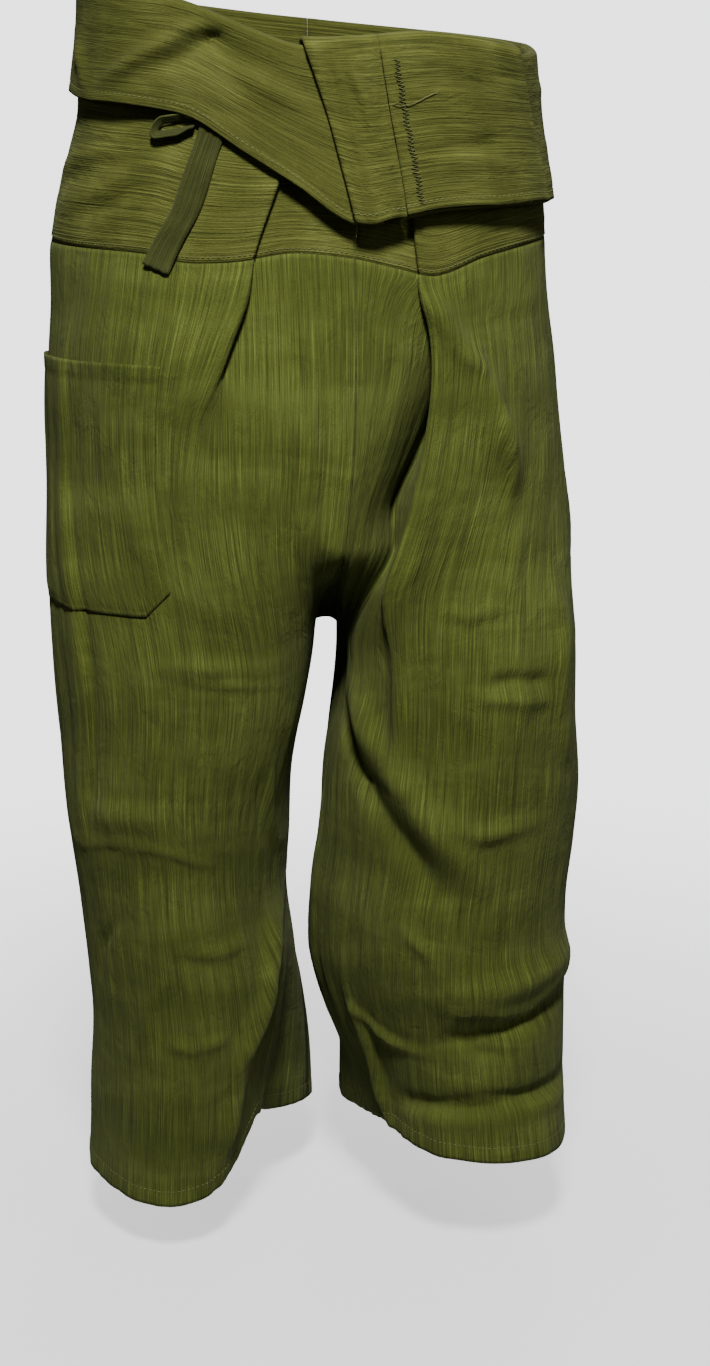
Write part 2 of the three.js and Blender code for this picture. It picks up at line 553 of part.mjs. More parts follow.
function bandGrid(side) {
  const columns = side === "right" ? RIGHT_COLUMNS : LEFT_COLUMNS;
  const sign = side === "right" ? 1 : -1;
  const spread = (angle) => mix(FLAP_SPREAD_FRONT, FLAP_SPREAD_SIDE, ease(48, 100, Math.abs(angle - 10)));
  const rowAt = (v, place) => columns.map((s) => {
    const p = onPath(bandPath(side, v), s);
    return place(p.at, p.out, edgeSide(side, s) * SEAM_GAP / 2 / MM_PER_DEGREE);
  });
  const rows = [];
  YOKE_STEPS.forEach((t) => {
    rows.push(rowAt(t * YOKE_END, (at, out, edge) => {
      const seam = along(EDGES, "at", "seam", at);
      const height = mix(seam, along(EDGES, "at", "top", at) - spread(at) / 2, t);
      const plan = ovalPoint(at + edge, height, out);
      return [plan[0], plan[1], height + (t === 0 ? SEAM_GAP / 2 : 0)];
    }));
  });
  TURN_STEPS.forEach((degrees) => {
    rows.push(rowAt(mix(YOKE_END, FLAP_START, degrees / 180), (at, out, edge) => {
      const radius = (spread(at) - 2 * out) / 2;
      const centre = along(EDGES, "at", "top", at) - spread(at) / 2;
      const plan = ovalPoint(at + edge, centre, spread(at) / 2 - radius * Math.cos(degrees * DEG));
      return [plan[0], plan[1], centre + radius * Math.sin(degrees * DEG)];
    }));
  });
  FLAP_STEPS.forEach((t) => {
    rows.push(rowAt(mix(FLAP_START, 1, t), (at, out, edge) => {
      const start = along(EDGES, "at", "top", at) - spread(at) / 2;
      const height = mix(start, along(EDGES, "at", "hem", at) - out * FLAP_SHORTER, t);
      const plan = ovalPoint(at + edge, height, spread(at) - out);
      return [plan[0], plan[1], height];
    }));
  });
  return { grid: rows, normals: gridNormals(rows, -sign, [0]) };
}
const rightBand = bandGrid("right");
const leftBand = bandGrid("left");
group.add(wall("waistband_right", OLIVE_LIGHT, rightBand.grid, rightBand.normals, CLOTH));
group.add(wall("waistband_left", OLIVE_LIGHT, leftBand.grid, leftBand.normals, CLOTH));

// Crotch gusset: a strip from the front seam down between the legs and up to the back seam, arched across
const CROTCH_START = LEVELS.indexOf(GUSSET_LEVEL);
const CROTCH_END = LEVELS.indexOf(CORNER_LEVEL);
const ACROSS_STEPS = [0, 0.16, 0.33, 0.5, 0.67, 0.84, 1];

function gussetEnd(leg, row, column, neighbour, share) {
  const point = leg.grid[row][column];
  const normal = leg.normals[row][column];
  const inLine = unit(subtract(point, leg.grid[row][neighbour]));
  const edge = unit(subtract(leg.grid[row + 1][column], leg.grid[row - 1][column]));
  let off = unit(cross(normal, edge));
  if (off[0] * inLine[0] + off[1] * inLine[1] + off[2] * inLine[2] < 0) {
    off = off.map((value) => -value);
  }
  const lean = share * share;
  const tangent = unit([mix(inLine[0], 0, lean), mix(inLine[1], 0, lean), mix(inLine[2], 1, lean)]);
  return { point: point.map((value, k) => value + off[k] * GUSSET_GAP), tangent, normal };
}

function cornerEnd(leg, last) {
  const front = leg.grid[CROTCH_END][0];
  const back = leg.grid[CROTCH_END][last];
  const point = front.map((value, k) => mix(value, back[k], 0.5));
  point[2] += GUSSET_GAP;
  return { point, tangent: [0, 0, 1], normal: leg.normals[CROTCH_END][0] };
}

function gussetRow(a, b) {
  const reach = Math.hypot(...subtract(b.point, a.point)) * GUSSET_BULGE;
  return ACROSS_STEPS.map((u) => {
    const u2 = u * u;
    const u3 = u2 * u;
    return a.point.map((value, k) => (2 * u3 - 3 * u2 + 1) * value + (u3 - 2 * u2 + u) * a.tangent[k] * reach
      + (3 * u2 - 2 * u3) * b.point[k] - (u3 - u2) * b.tangent[k] * reach);
  });
}

const gussetRows = [];
const gussetEnds = [];
const lastRight = RIGHT_COLUMNS.length - 1;
const lastLeft = LEFT_COLUMNS.length - 1;
const addGussetRow = (a, b) => {
  gussetRows.push(gussetRow(a, b));
  gussetEnds.push([a.normal, b.normal]);
};
for (let row = CROTCH_START; row < CROTCH_END; row += 1) {
  const share = (row - CROTCH_START) / (CROTCH_END - CROTCH_START);
  addGussetRow(gussetEnd(rightLeg, row, 0, 1, share), gussetEnd(leftLeg, row, 0, 1, share));
}
addGussetRow(cornerEnd(rightLeg, lastRight), cornerEnd(leftLeg, lastLeft));
for (let row = CROTCH_END - 1; row >= CROTCH_START; row -= 1) {
  const share = (row - CROTCH_START) / (CROTCH_END - CROTCH_START);
  addGussetRow(
    gussetEnd(rightLeg, row, lastRight, lastRight - 1, share),
    gussetEnd(leftLeg, row, lastLeft, lastLeft - 1, share),
  );
}
const gussetNormals = gridNormals(gussetRows, -1, []);
gussetNormals.forEach((line, i) => {
  line[0] = gussetEnds[i][0];
  line[line.length - 1] = gussetEnds[i][1];
});
group.add(wall("crotch_gusset", OLIVE, gussetRows, gussetNormals, CLOTH));

// Patch pocket: the right leg's own points moved out, with both lower corners cut off
const pocketFront = RIGHT_COLUMNS.indexOf(POCKET_FRONT_S);
const pocketBack = RIGHT_COLUMNS.indexOf(POCKET_BACK_S);
const pocketTop = LEVELS.indexOf(POCKET_TOP_LEVEL);
const pocketBottom = LEVELS.indexOf(POCKET_BOTTOM_LEVEL);
const POCKET_CORNER_ROWS = 2;
const pocketGrid = [];
const pocketNormals = [];
for (let row = pocketTop; row <= pocketBottom; row += 1) {
  const points = [];
  const normals = [];
  for (let column = pocketFront; column <= pocketBack; column += 1) {
    const atSide = column === pocketFront || column === pocketBack;
    const cut = atSide ? Math.max(0, row - pocketBottom + POCKET_CORNER_ROWS) * POCKET_CORNER_STEP : 0;
    const from = cut > 0 ? pocketBottom - POCKET_CORNER_ROWS : row;
    const upper = rightLeg.grid[from][column];
    const lower = rightLeg.grid[from + 1][column];
    const normal = rightLeg.normals[from][column];
    normals.push(normal);
    points.push(upper.map((value, k) => mix(value, lower[k], cut) + normal[k] * POCKET_LIFT));
  }
  pocketGrid.push(points);
  pocketNormals.push(normals);
}
group.add(wall("patch_pocket", OLIVE, pocketGrid, pocketNormals, CLOTH));

// Waist tie: a band round the yoke under the flap, a small loop and the hanging end beside it
const TIE_PATH = [
  { at: -180, out: 2.5 },
  { at: -110, out: 2.6 },
  { at: -90, out: 3.8 },
  { at: -60, out: 6.8 },
  { at: -30, out: 8.6 },
  { at: -10, out: 9.2 },
  { at: 10, out: 9.2 },
  { at: 30, out: 9.4 },
  { at: 50, out: 9.4 },
  { at: 66, out: 9.2 },
  { at: 84, out: 5.6 },
  { at: 102, out: 3 },
  { at: 180, out: 2.5 },
];
const TIE_TAIL = [
  { z: 10, at: -18.5, out: 10.9 },
  { z: -4, at: -19.3, out: 10.6 },
  { z: -20, at: -20.6, out: 9 },
  { z: -36, at: -21.8, out: 8.6 },
  { z: -54, at: -23, out: 8.4 },
  { z: -72, at: -24.6, out: 8.4 },
  { z: -94, at: -28, out: 9.4 },
  { z: -112, at: -30.6, out: 11 },
];

const tieRows = [[], [], []];
const TIE_STEPS = 72;
for (let k = 0; k <= TIE_STEPS; k += 1) {
  const turned = TIE_START + (360 - 0.2) * k / TIE_STEPS;
  const at = turned > 180 ? turned - 360 : turned;
  const height = along(EDGES, "at", "tie", at);
  [1, 0, -1].forEach((half, r) => {
    const plan = ovalPoint(at, height + half * TIE_WIDTH / 2, along(TIE_PATH, "at", "out", at));
    tieRows[r].push([plan[0], plan[1], height + half * TIE_WIDTH / 2]);
  });
}
group.add(wall("waist_tie", OLIVE_LIGHT, tieRows, gridNormals(tieRows, -1, [0, 1, 2]), TIE_THICKNESS));

const tailRows = TIE_TAIL.map((row) => [-0.5, 0, 0.5].map((half) => {
  const plan = ovalPoint(row.at + half * TIE_WIDTH / MM_PER_DEGREE, row.z, row.out);
  return [plan[0], plan[1], row.z - half * TAIL_SLANT];
}));
group.add(wall("tie_tail", OLIVE_LIGHT, tailRows, gridNormals(tailRows, -1, []), TIE_THICKNESS));

// The loop: a ribbon that leans outwards, along two strands and the half circle that joins them.
// dx and dz are the direction away from the loop's middle
const loopPath = LOOP_STOPS.map((x) => ({ x: -x, z: LOOP_RADIUS, dx: 0, dz: 1 }));
for (let degrees = 90; degrees <= 270; degrees += 22.5) {
  const dx = Math.cos(degrees * Math.PI / 180);
  const dz = Math.sin(degrees * Math.PI / 180);
  loopPath.push({ x: LOOP_RADIUS * dx - LOOP_STRAND, z: LOOP_RADIUS * dz, dx, dz });
}
[...LOOP_STOPS].reverse().forEach((x) => loopPath.push({ x: -x, z: -LOOP_RADIUS, dx: 0, dz: -1 }));

const loopRows = [0.5, 0, -0.5].map((half) => loopPath.map((p) => {
  const lean = half * LOOP_WIDTH * LOOP_LEAN;
  const neck = mix(LOOP_NECK, 1, ease(0, LOOP_NECK_LENGTH, -p.x));
  const x = p.x * (1 - LOOP_SKEW * p.dz) + lean * p.dx;
  const height = LOOP_MIDDLE + (p.z + lean * p.dz) * neck + LOOP_SLANT * x;
  const plan = ovalPoint(LOOP_START + x / MM_PER_DEGREE, height, LOOP_OUT + lean);
  return [plan[0], plan[1], height];
}));
group.add(wall("tie_loop", OLIVE_LIGHT, loopRows, gridNormals(loopRows, 1, []), LOOP_THICKNESS));

export default group;
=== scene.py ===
import math

import bpy
import numpy as np
from bpy.props import FloatProperty, FloatVectorProperty, PointerProperty
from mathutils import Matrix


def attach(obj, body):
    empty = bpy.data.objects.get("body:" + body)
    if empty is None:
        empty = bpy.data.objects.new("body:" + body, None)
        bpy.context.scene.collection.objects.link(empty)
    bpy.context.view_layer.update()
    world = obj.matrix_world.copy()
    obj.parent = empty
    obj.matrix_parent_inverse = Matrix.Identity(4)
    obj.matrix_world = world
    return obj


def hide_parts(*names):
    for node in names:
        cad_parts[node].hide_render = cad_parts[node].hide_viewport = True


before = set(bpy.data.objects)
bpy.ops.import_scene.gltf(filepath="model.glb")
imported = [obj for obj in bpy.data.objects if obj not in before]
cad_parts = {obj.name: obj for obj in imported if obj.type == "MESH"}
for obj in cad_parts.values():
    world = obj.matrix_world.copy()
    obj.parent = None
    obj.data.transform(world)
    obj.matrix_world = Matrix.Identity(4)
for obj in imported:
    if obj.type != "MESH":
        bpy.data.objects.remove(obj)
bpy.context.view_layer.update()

bl_info = {
    "name": "Thai Fisherman Pants",
    "version": (1, 0, 0),
    "blender": (4, 5, 0),
    "location": "View3D > Sidebar > Pants",
    "description": "Worn wrap trousers in slub cotton, pleated over the front and folded down at the waist",
    "category": "Add Mesh",
}

MM = 0.001
MM_PER_DEGREE = 3.4

# Cut of the cloth: whole width, seams and turned edges, in millimetres
CUT_WIDTH = 620
BAND_LENGTH = 280
SEAM_GAP = 0.3
ALLOWANCE = 9
OVERLOCK_WIDTH = 3.6
OVERLOCK_TURNS = 150
FLAP_HEM = 6.5
LEG_HEM = 14
POCKET_HEM = 12

# Heights at which one form passes over into the next, from the top down
SEAM_LEVEL = -105
SEWN_END = -122
FOLD_START = -140
CALM_END = -150
SEAM_SHAPE_END = -200
BLEND_TOP = -322
BLEND_TOP_AWAY = 76
GUSSET_LEVEL = -336
CORNER_LEVEL = -420
BLEND_END_AWAY = 60
HEM_SHAPE_START = -620
HEM_LEVEL = -895
FLOOR_LEVEL = -956

# Shares of the cut width where the pleats turn, and half the share that a turn takes up
RIGHT_INNER_S = 0.16
RIGHT_OUTER_S = 0.205
LEFT_LIP_S = 0.1
LEFT_INNER_S = 0.2
LEFT_OUTER_S = 0.33
TURN_S = 0.004
SIDE_S = 0.55
LAYER_PITCH = 3.4
LEG_RADIUS = 100

# Which way each half goes round, and the seeds of its crinkle
SIGNS = {"right": 1, "left": -1}
LEG_SEEDS = {"right": 11, "left": 31}
BAND_SEEDS = {"right": 51, "left": 71}
# Shares between which a leg's front starts to pass over into its ring lower down, and where its back does
GATHER = {"right": (0, 0.14), "left": (0.34, 0.46)}
GATHER_BACK = 0.88
# Creases are calmed where layers lie on each other: first and last share, and the height it starts from
LAYERED = {"right": (0.05, 0.25, -200), "left": (0.05, 0.45, -250)}

# Waistband: shares of its length where the yoke ends and the flap starts, and how far the flap stands off
YOKE_END = 0.46
FLAP_START = 0.54
FLAP_SPREAD_FRONT = 20
FLAP_SPREAD_SIDE = 9
FLAP_SHORTER = 0.3

# Gusset, pocket and tie
GUSSET_GAP = 0.8
GUSSET_BULGE = 1.1
POCKET_FRONT_S = 0.25
POCKET_BACK_S = 0.52
POCKET_FRONT_AT = -31
POCKET_TOP = -183
POCKET_BOTTOM = -378
POCKET_CORNER = 21
POCKET_CORNER_SHARE = 0.14
TIE_THICKNESS = 1.4
TIE_WIDTH = 21
TIE_START = -19
TIE_OPEN = 0.2
TAIL_SLANT = 8
LOOP_THICKNESS = 1.0
LOOP_WIDTH = 10.4
LOOP_RADIUS = 5.2
LOOP_STRAND = 30
LOOP_START = -24.5
LOOP_MIDDLE = -6.5
LOOP_OUT = 10.6
LOOP_LEAN = 0.5
LOOP_SKEW = 0.05
LOOP_SLANT = 0.1
LOOP_NECK = 0.45
LOOP_NECK_LENGTH = 14

# Lights: place, aim, side of the square, power and spread in degrees. Camera: place, tilt and lens
LIGHTS = {
    "key_light": ((0.05, -1.75, 1.62), (0.02, 0, -0.38), 0.4, 21, 66),
    "left_light": ((-2.6, -0.7, 0.7), (0, 0, -0.4), 0.9, 0.5, 60),
    "right_light": ((2.4, -1.3, 0.6), (0, 0, -0.5), 0.9, 1.2, 60),
    "back_light": ((0.6, 2.6, 1.6), (0, 0, -0.4), 0.9, 3, 60),
}
AIR_STRENGTH = 0.045
SEEN_AIR_STRENGTH = 3.4
FLOOR_RADIUS = 1800
FLOOR_FADE = (0.45, 1.7)
CAMERA_PLACE = (0.04, -1.64, -0.037)
CAMERA_DOWN = 14.5
LENS = 52.71
SENSOR = 36


def table(columns, rows):
    """A short table with named columns, one array for each column."""
    return {name: np.array([row[k] for row in rows], float) for k, name in enumerate(columns)}


# Body oval by height: the ring that the cloth hangs round at the waist and the hips
BODY = table(("z", "cx", "cy", "half_width", "half_depth"), [
    (112, 0, 0, 167, 110),
    (60, 0, 0, 169, 112),
    (20, -1, 0, 175, 114),
    (0, -1, 0, 177, 114),
    (-25, -2, 0, 183, 116),
    (-60, -4, 0, 191, 119),
    (-95, -6, 1, 195, 122),
    (-142, -5, 2, 198, 126),
    (-182, -4, 2, 202, 129),
    (-222, -3, 2, 206, 131),
    (-263, -1, 2, 209, 132),
    (-305, 0, 2, 211, 132),
    (-355, 1, 1, 214, 131),
    (-430, 4, 0, 216, 128),
])

# Heights of the yoke seam, top fold, flap hem and tie by angle round the waist, 0 is the front
EDGES = table(("at", "seam", "top", "hem", "tie"), [
    (-180, -96, 82, -22, 20),
    (-135, -95, 94, 4, 30),
    (-90, -94, 98, 20, 38),
    (-52, -98, 93, 10, 30),
    (-34, -101, 88, 5, 24),
    (-24, -107, 80, -2, 15),
    (-12, -106, 66, -24, 5),
    (0, -100, 54, -48, 0),
    (13, -104, 54, -77, 0),
    (24, -112, 57, -73, 0),
    (32, -117, 58, -68, 0),
    (46, -104, 56, -65, 0),
    (66, -95, 51, -63, 0),
    (90, -92, 54, -60, 0),
    (135, -94, 68, -45, 8),
    (180, -96, 82, -22, 20),
])

# Pleat lines of the waistband, in degrees round the waist, from the yoke seam over the top to the hem
BAND_PLEATS = table(("v", "front", "right_inner", "right_outer", "left_inner", "left_outer"), [
    (0.0, 13.5, -16.4, -8.5, 55, 28),
    (0.5, 18, 0.5, 6, 61, 23),
    (1.0, 24, 13, 19, 69, 24.5),
])

# Where the front seam runs, in degrees round the body
FRONT_SEAM = table(("z", "at"), [
    (-90, 13.5), (-125, 13.5), (-170, 13), (-230, 12), (-290, 10), (-355, 7.7), (-430, 6),
])

# Right leg below the yoke: how far the small pleat has opened and how far the front stands out
RIGHT_HIP = table(("z", "open", "pitch", "rise", "step"), [
    (-90, 0, 3.4, 0, 0),
    (-125, 0.06, 4.4, 0.5, 2),
    (-170, 0.36, 6, 5, 5),
    (-200, 0.6, 7, 8, 7),
    (-230, 0.82, 7, 9, 8),
    (-290, 1, 5, 4, 9),
    (-355, 1, 3.4, 0, 8),
    (-430, 1, 3.4, 0, 0),
])

# Left leg below the yoke: the deep pleat opens into a hollow with a lip on each side
LEFT_HIP = table(("z", "lip", "lip_out", "bottom", "bottom_out", "turn", "edge", "edge_out", "roll"), [
    (-90, 34, 0, 55, 1.7, 1.7, 28, 5.1, 1.7),
    (-122, 31, 0, 54, 0, 2, 28, 6, 2),
    (-150, 26, 0, 50, -10, 3, 29.5, 7, 3),
    (-190, 24, 0, 43, -26, 4, 29.5, 7, 3),
    (-232, 20.5, 0, 36, -38, 5, 27.5, 6, 3),
    (-290, 14.5, 0, 25, -42, 5, 23, 5, 3),
    (-330, 12, 0, 23, -32, 4, 19, 4, 3),
    (-365, 10, 0, 20, -14, 3, 16, 2, 2),
    (-430, 10, 0, 18, -6, 2.4, 14, 1, 2),
])

# Leg sections: middle of the leg and the radius in eight directions, in is towards the other leg
DIRECTIONS = ("in", "fi", "fr", "fo", "out", "bo", "ba", "bi")
SECTION_COLUMNS = ("z", "cx", "cy") + DIRECTIONS
SECTIONS = {
    "right": table(SECTION_COLUMNS, [
        (-300, -104, -18, 112, 132, 113, 112, 108, 106, 114, 122),
        (-425, -104, -14, 105, 127, 111, 108, 108, 108, 118, 130),
        (-530, -111, -14, 94, 108, 104, 100, 94, 99, 108, 116),
        (-590, -109, -12, 90, 94, 98, 97, 91, 95, 103, 107),
        (-640, -108, -6, 86, 93, 101, 96, 87, 92, 101, 102),
        (-700, -103, 2, 84, 97, 103, 97, 87, 91, 102, 104),
        (-760, -100, 8, 77, 90, 106, 98, 88, 91, 104, 116),
        (-820, -101, 12, 69, 77, 107, 100, 92, 90, 103, 128),
        (-900, -104, 14, 58, 62, 105, 102, 95, 90, 101, 136),
    ]),
    "left": table(SECTION_COLUMNS, [
        (-300, 116, -18, 100, 116, 114, 112, 100, 106, 114, 118),
        (-425, 122, -14, 88, 104, 110, 110, 100, 107, 118, 121),
        (-530, 120, -14, 106, 103, 106, 108, 108, 102, 108, 117),
        (-590, 117, -12, 108, 99, 102, 106, 109, 99, 102, 109),
        (-640, 112, -8, 108, 100, 106, 108, 109, 97, 98, 103),
        (-700, 111, -2, 106, 98, 108, 110, 110, 95, 95, 99),
        (-760, 114, 4, 96, 84, 100, 112, 107, 94, 96, 104),
        (-800, 117, 8, 84, 75, 103, 115, 104, 94, 98, 112),
        (-860, 120, 10, 72, 70, 108, 120, 102, 92, 98, 120),
    ]),
}

# Hem height by direction round the leg: 0 is towards the other leg, 90 the front, 180 the outer side
HEMS = {
    "right": table(("at", "z"), [
        (-90, -896), (-45, -884), (0, -862), (40, -848), (60, -880), (90, -900), (135, -896), (180, -893),
        (225, -898), (270, -896),
    ]),
    "left": table(("at", "z"), [
        (-90, -890), (-45, -872), (0, -860), (45, -848), (90, -853), (120, -858), (150, -862), (180, -853),
        (225, -872), (270, -890),
    ]),
}

# How the cut width of each leg goes round it: share of the width and the direction it meets
ROUNDS = {
    "right": table(("s", "at"), [
        (0, -30), (0.05, 28), (0.16, 58), (0.3, 98), (0.5, 165), (0.75, 250), (1, 330),
    ]),
    "left": table(("s", "at"), [
        (0, -30), (0.1, 2), (0.2, 30), (0.33, 62), (0.5, 118), (0.62, 180), (0.8, 250), (1, 330),
    ]),
}

# Largest folds: share of the cut width and height at both ends, half width and height of the fold
FOLD_COLUMNS = ("s1", "z1", "s2", "z2", "wide", "high")
FOLDS = {
    "right": table(FOLD_COLUMNS, [
        (0.05, -655, 0.185, -780, 13, 7),
        (0.172, -765, 0.215, -890, 13, 5),
        (0.28, -573, 0.42, -576, 9, -5),
        (0.29, -545, 0.4, -548, 13, 4),
        (0.385, -370, 0.4, -560, 10, -4),
        (0.7, -560, 0.85, -610, 14, -6),
        (0.66, -300, 0.8, -380, 16, 5),
    ]),
    "left": table(FOLD_COLUMNS, [
        (0.2, -440, 0.35, -520, 15, 8),
        (0.33, -510, 0.47, -605, 15, 9),
        (0.16, -470, 0.3, -540, 12, -8),
        (0.29, -535, 0.42, -612, 12, -8),
        (0.343, -340, 0.338, -495, 12, 6),
        (0.33, -128, 0.39, -192, 10, 5),
        (0.383, -180, 0.45, -275, 12, 6),
        (0.42, -702, 0.6, -690, 14, 10),
        (0.42, -744, 0.58, -728, 11, -9),
        (0.34, -812, 0.58, -804, 10, -8),
        (0.24, -738, 0.285, -850, 12, 6),
        (0.72, -560, 0.88, -600, 14, -6),
        (0.68, -310, 0.82, -390, 16, 5),
    ]),
}

# Listed creases: points as share of the cut width and height, then the width on the left of
# the line, the width on its right and the height, all in millimetres
LEG_CREASES = {
    "right": [
        ([(0.12, -112), (0.2, -132), (0.222, -160), (0.24, -186)], 12, 9, 2.6),
        ([(0.383, -190), (0.385, -300), (0.385, -368), (0.394, -411), (0.397, -505), (0.415, -568)],
         18, 2.5, 4),
        ([(0.27, -573), (0.35, -574), (0.43, -576)], 9, 9, 2.8),
        ([(0.2, -590), (0.285, -573), (0.308, -569), (0.339, -566), (0.389, -572), (0.415, -578)],
         3, 3, 0.9),
        ([(0.15, -418), (0.285, -417)], 9, 9, 1.8),
        ([(0.1, -435), (0.19, -431), (0.267, -427)], 2.5, 2.5, 0.9),
        ([(0.047, -150), (0.047, -188), (0.049, -226), (0.046, -279), (0.048, -375)], 14, 2.5, 2.6),
        ([(0.031, -640), (0.067, -673), (0.112, -721), (0.174, -763), (0.191, -777)], 16, 6, 3),
        ([(0.186, -780), (0.183, -792), (0.193, -822), (0.212, -860)], 16, 6, 3),
        ([(0.095, -500), (0.085, -533), (0.06, -565), (0.046, -588)], 5, 5, 2),
        ([(0.12, -505), (0.11, -540), (0.085, -575)], 4, 6, -1.6),
        ([(0.15, -662), (0.2, -668), (0.26, -664)], 7, 5, 1.5),
        ([(0.36, -640), (0.4, -665), (0.42, -700)], 7, 4, -1.8),
        ([(0.21, -745), (0.26, -752), (0.3, -748)], 6, 6, 1.6),
        ([(0.3, -690), (0.33, -720), (0.34, -760)], 8, 5, 1.5),
        ([(0.6, -250), (0.63, -330), (0.62, -420)], 12, 7, 2.6),
        ([(0.72, -150), (0.74, -260), (0.71, -360)], 12, 9, 2.4),
        ([(0.88, -140), (0.86, -230), (0.9, -330)], 10, 8, 2.2),
        ([(0.68, -470), (0.78, -505), (0.88, -500)], 9, 6, 3),
        ([(0.66, -640), (0.76, -668), (0.86, -655)], 9, 5, 3),
        ([(0.7, -690), (0.8, -702), (0.9, -690)], 7, 7, -2.6),
        ([(0.62, -760), (0.7, -790), (0.74, -850)], 12, 6, 2.4),
    ],
    "left": [
        ([(0.172, -442), (0.253, -463), (0.294, -490), (0.344, -530), (0.385, -557), (0.449, -600)],
         26, 18, 0.4),
        ([(0.193, -519), (0.282, -520), (0.318, -526)], 8, 5, -1),
        ([(0.295, -330), (0.298, -420), (0.29, -515)], 20, 34, -1.4),
        ([(0.343, -290), (0.352, -374), (0.339, -419), (0.337, -491)], 8, 5, 2),
        ([(0.433, -741), (0.442, -717), (0.464, -714), (0.525, -724), (0.57, -710), (0.6, -698)],
         9, 4, 2.2),
        ([(0.44, -735), (0.47, -756), (0.51, -760)], 6, 6, -1.2),
        ([(0.349, -812), (0.394, -806), (0.472, -796), (0.526, -803), (0.58, -807)], 9, 5, -1.4),
        ([(0.35, -822), (0.42, -818), (0.5, -814), (0.57, -818)], 5, 8, 2),
        ([(0.22, -730), (0.29, -744), (0.34, -754), (0.4, -759)], 4, 7, 2.4),
        ([(0.229, -734), (0.245, -770), (0.261, -802), (0.285, -850)], 10, 5, 3),
        ([(0.478, -300), (0.478, -352), (0.49, -372)], 5, 5, 1.8),
        ([(0.533, -360), (0.544, -392), (0.542, -425), (0.554, -502)], 8, 4, 2.6),
        ([(0.46, -432), (0.49, -430), (0.53, -436)], 6, 6, -2.6),
        ([(0.44, -440), (0.456, -443), (0.528, -451)], 4, 6, 1.8),
        ([(0.331, -125), (0.343, -153), (0.36, -174), (0.388, -186)], 7, 4, 3.8),
        ([(0.388, -179), (0.409, -200), (0.424, -227), (0.447, -269), (0.45, -300)], 9, 4, 3.8),
        ([(0.4, -372), (0.43, -378), (0.47, -372)], 5, 5, 1.4),
        ([(0.41, -545), (0.46, -560), (0.53, -552)], 9, 7, 2),
        ([(0.36, -640), (0.4, -660), (0.43, -690)], 7, 6, 1.6),
        ([(0.1, -560), (0.13, -640), (0.12, -720)], 9, 6, 2),
        ([(0.05, -600), (0.07, -700), (0.06, -790)], 8, 6, 2.2),
        ([(0.62, -270), (0.64, -350), (0.62, -430)], 12, 7, 2.4),
        ([(0.72, -160), (0.74, -250), (0.72, -350)], 12, 9, 2.4),
        ([(0.86, -140), (0.88, -240), (0.85, -340)], 10, 8, 2.2),
        ([(0.66, -480), (0.76, -512), (0.88, -505)], 9, 6, 3),
        ([(0.68, -650), (0.78, -672), (0.88, -660)], 9, 5, 3),
        ([(0.7, -700), (0.8, -712), (0.9, -700)], 7, 7, -2.6),
        ([(0.7, -770), (0.76, -800), (0.78, -850)], 12, 6, 2.4),
    ],
}

# The same on the flap and on the yoke, with points in degrees round the waist and height
FLAP_CREASES = [
    ([(-17, 78), (-20.2, 71), (-30, 54), (-37.5, 43.5), (-50.8, 25)], 7, 6, 4),
    ([(-14, 68), (-17.8, 60), (-25.2, 46), (-33, 32)], 7, 8, -3.5),
    ([(-21.8, 51), (-11.2, 34), (5, 9.5)], 10, 7, -2),
    ([(-16, 40), (-8, 20), (2, 2)], 8, 8, 1.8),
    ([(8, 54.5), (11.2, 35), (14.2, 12.5), (16, -10.5), (18.2, -44), (19.2, -62)], 7, 4, 1.5),
    ([(33, -21), (41.5, -23.5), (50, -20.5)], 6, 4, -2),
    ([(30, -36), (41.5, -33), (52, -36)], 4, 6, 1.2),
    ([(27, 30), (45, 26), (62, 30)], 8, 8, -1.2),
    ([(-75, 60), (-66, 40), (-60, 18)], 8, 8, 2),
    ([(95, 20), (104, -10), (101, -40)], 9, 7, 2),
    ([(128, 30), (122, 0), (130, -30)], 9, 9, 1.8),
    ([(-110, 70), (-118, 40), (-112, 14)], 9, 9, 1.8),
    ([(-150, 60), (-146, 30), (-152, 0)], 9, 9, 1.8),
]
YOKE_CREASES = [
    ([(-84, -40), (-66, -30), (-50.5, -25), (-37, -16)], 6, 8, 2.2),
    ([(-78, -52), (-60, -42), (-42, -30)], 7, 6, -2.2),
    ([(-73, -66.5), (-51.2, -54.5), (-35.8, -40), (-28, -26)], 6, 8, 2.6),
    ([(-64, -76), (-48, -68), (-36, -54)], 6, 6, -2.2),
    ([(-49.2, -84), (-37.8, -62), (-29.2, -36)], 6, 6, 1.8),
    ([(-2.5, -38), (-6, -55), (-11.2, -79.5), (-15, -100)], 5, 5, 1.4),
    ([(100, -30), (112, -60), (108, -88)], 9, 9, 1.8),
    ([(150, -20), (145, -50), (152, -84)], 9, 9, 1.8),
    ([(-130, -30), (-124, -60), (-132, -86)], 9, 9, 1.8),
]

# How far the tie stands off the body by angle, and the middle line of its hanging end by height
TIE_PATH = table(("at", "out"), [
    (-180, 2.5), (-110, 2.6), (-90, 3.8), (-60, 6.8), (-30, 8.6), (-10, 9.2), (10, 9.2), (30, 9.4),
    (50, 9.4), (66, 9.2), (84, 5.6), (102, 3), (180, 2.5),
])
TIE_TAIL = table(("z", "at", "out"), [
    (10, -18.5, 10.9), (-4, -19.3, 10.6), (-20, -20.6, 9), (-36, -21.8, 8.6), (-54, -23, 8.4),
    (-72, -24.6, 8.4), (-94, -28, 9.4), (-112, -30.6, 11),
])

# Loose thread at the folded front seam: share of the flap's length and distance from the seam
LOOSE_THREAD = table(("share", "from_seam"), [
    (0.29, 8), (0.31, 2), (0.33, 6), (0.32, 16), (0.29, 24), (0.27, 30), (0.26, 34),
])


def mix(a, b, t):
    """Value between a at 0 and b at 1."""
    return a + (b - a) * t


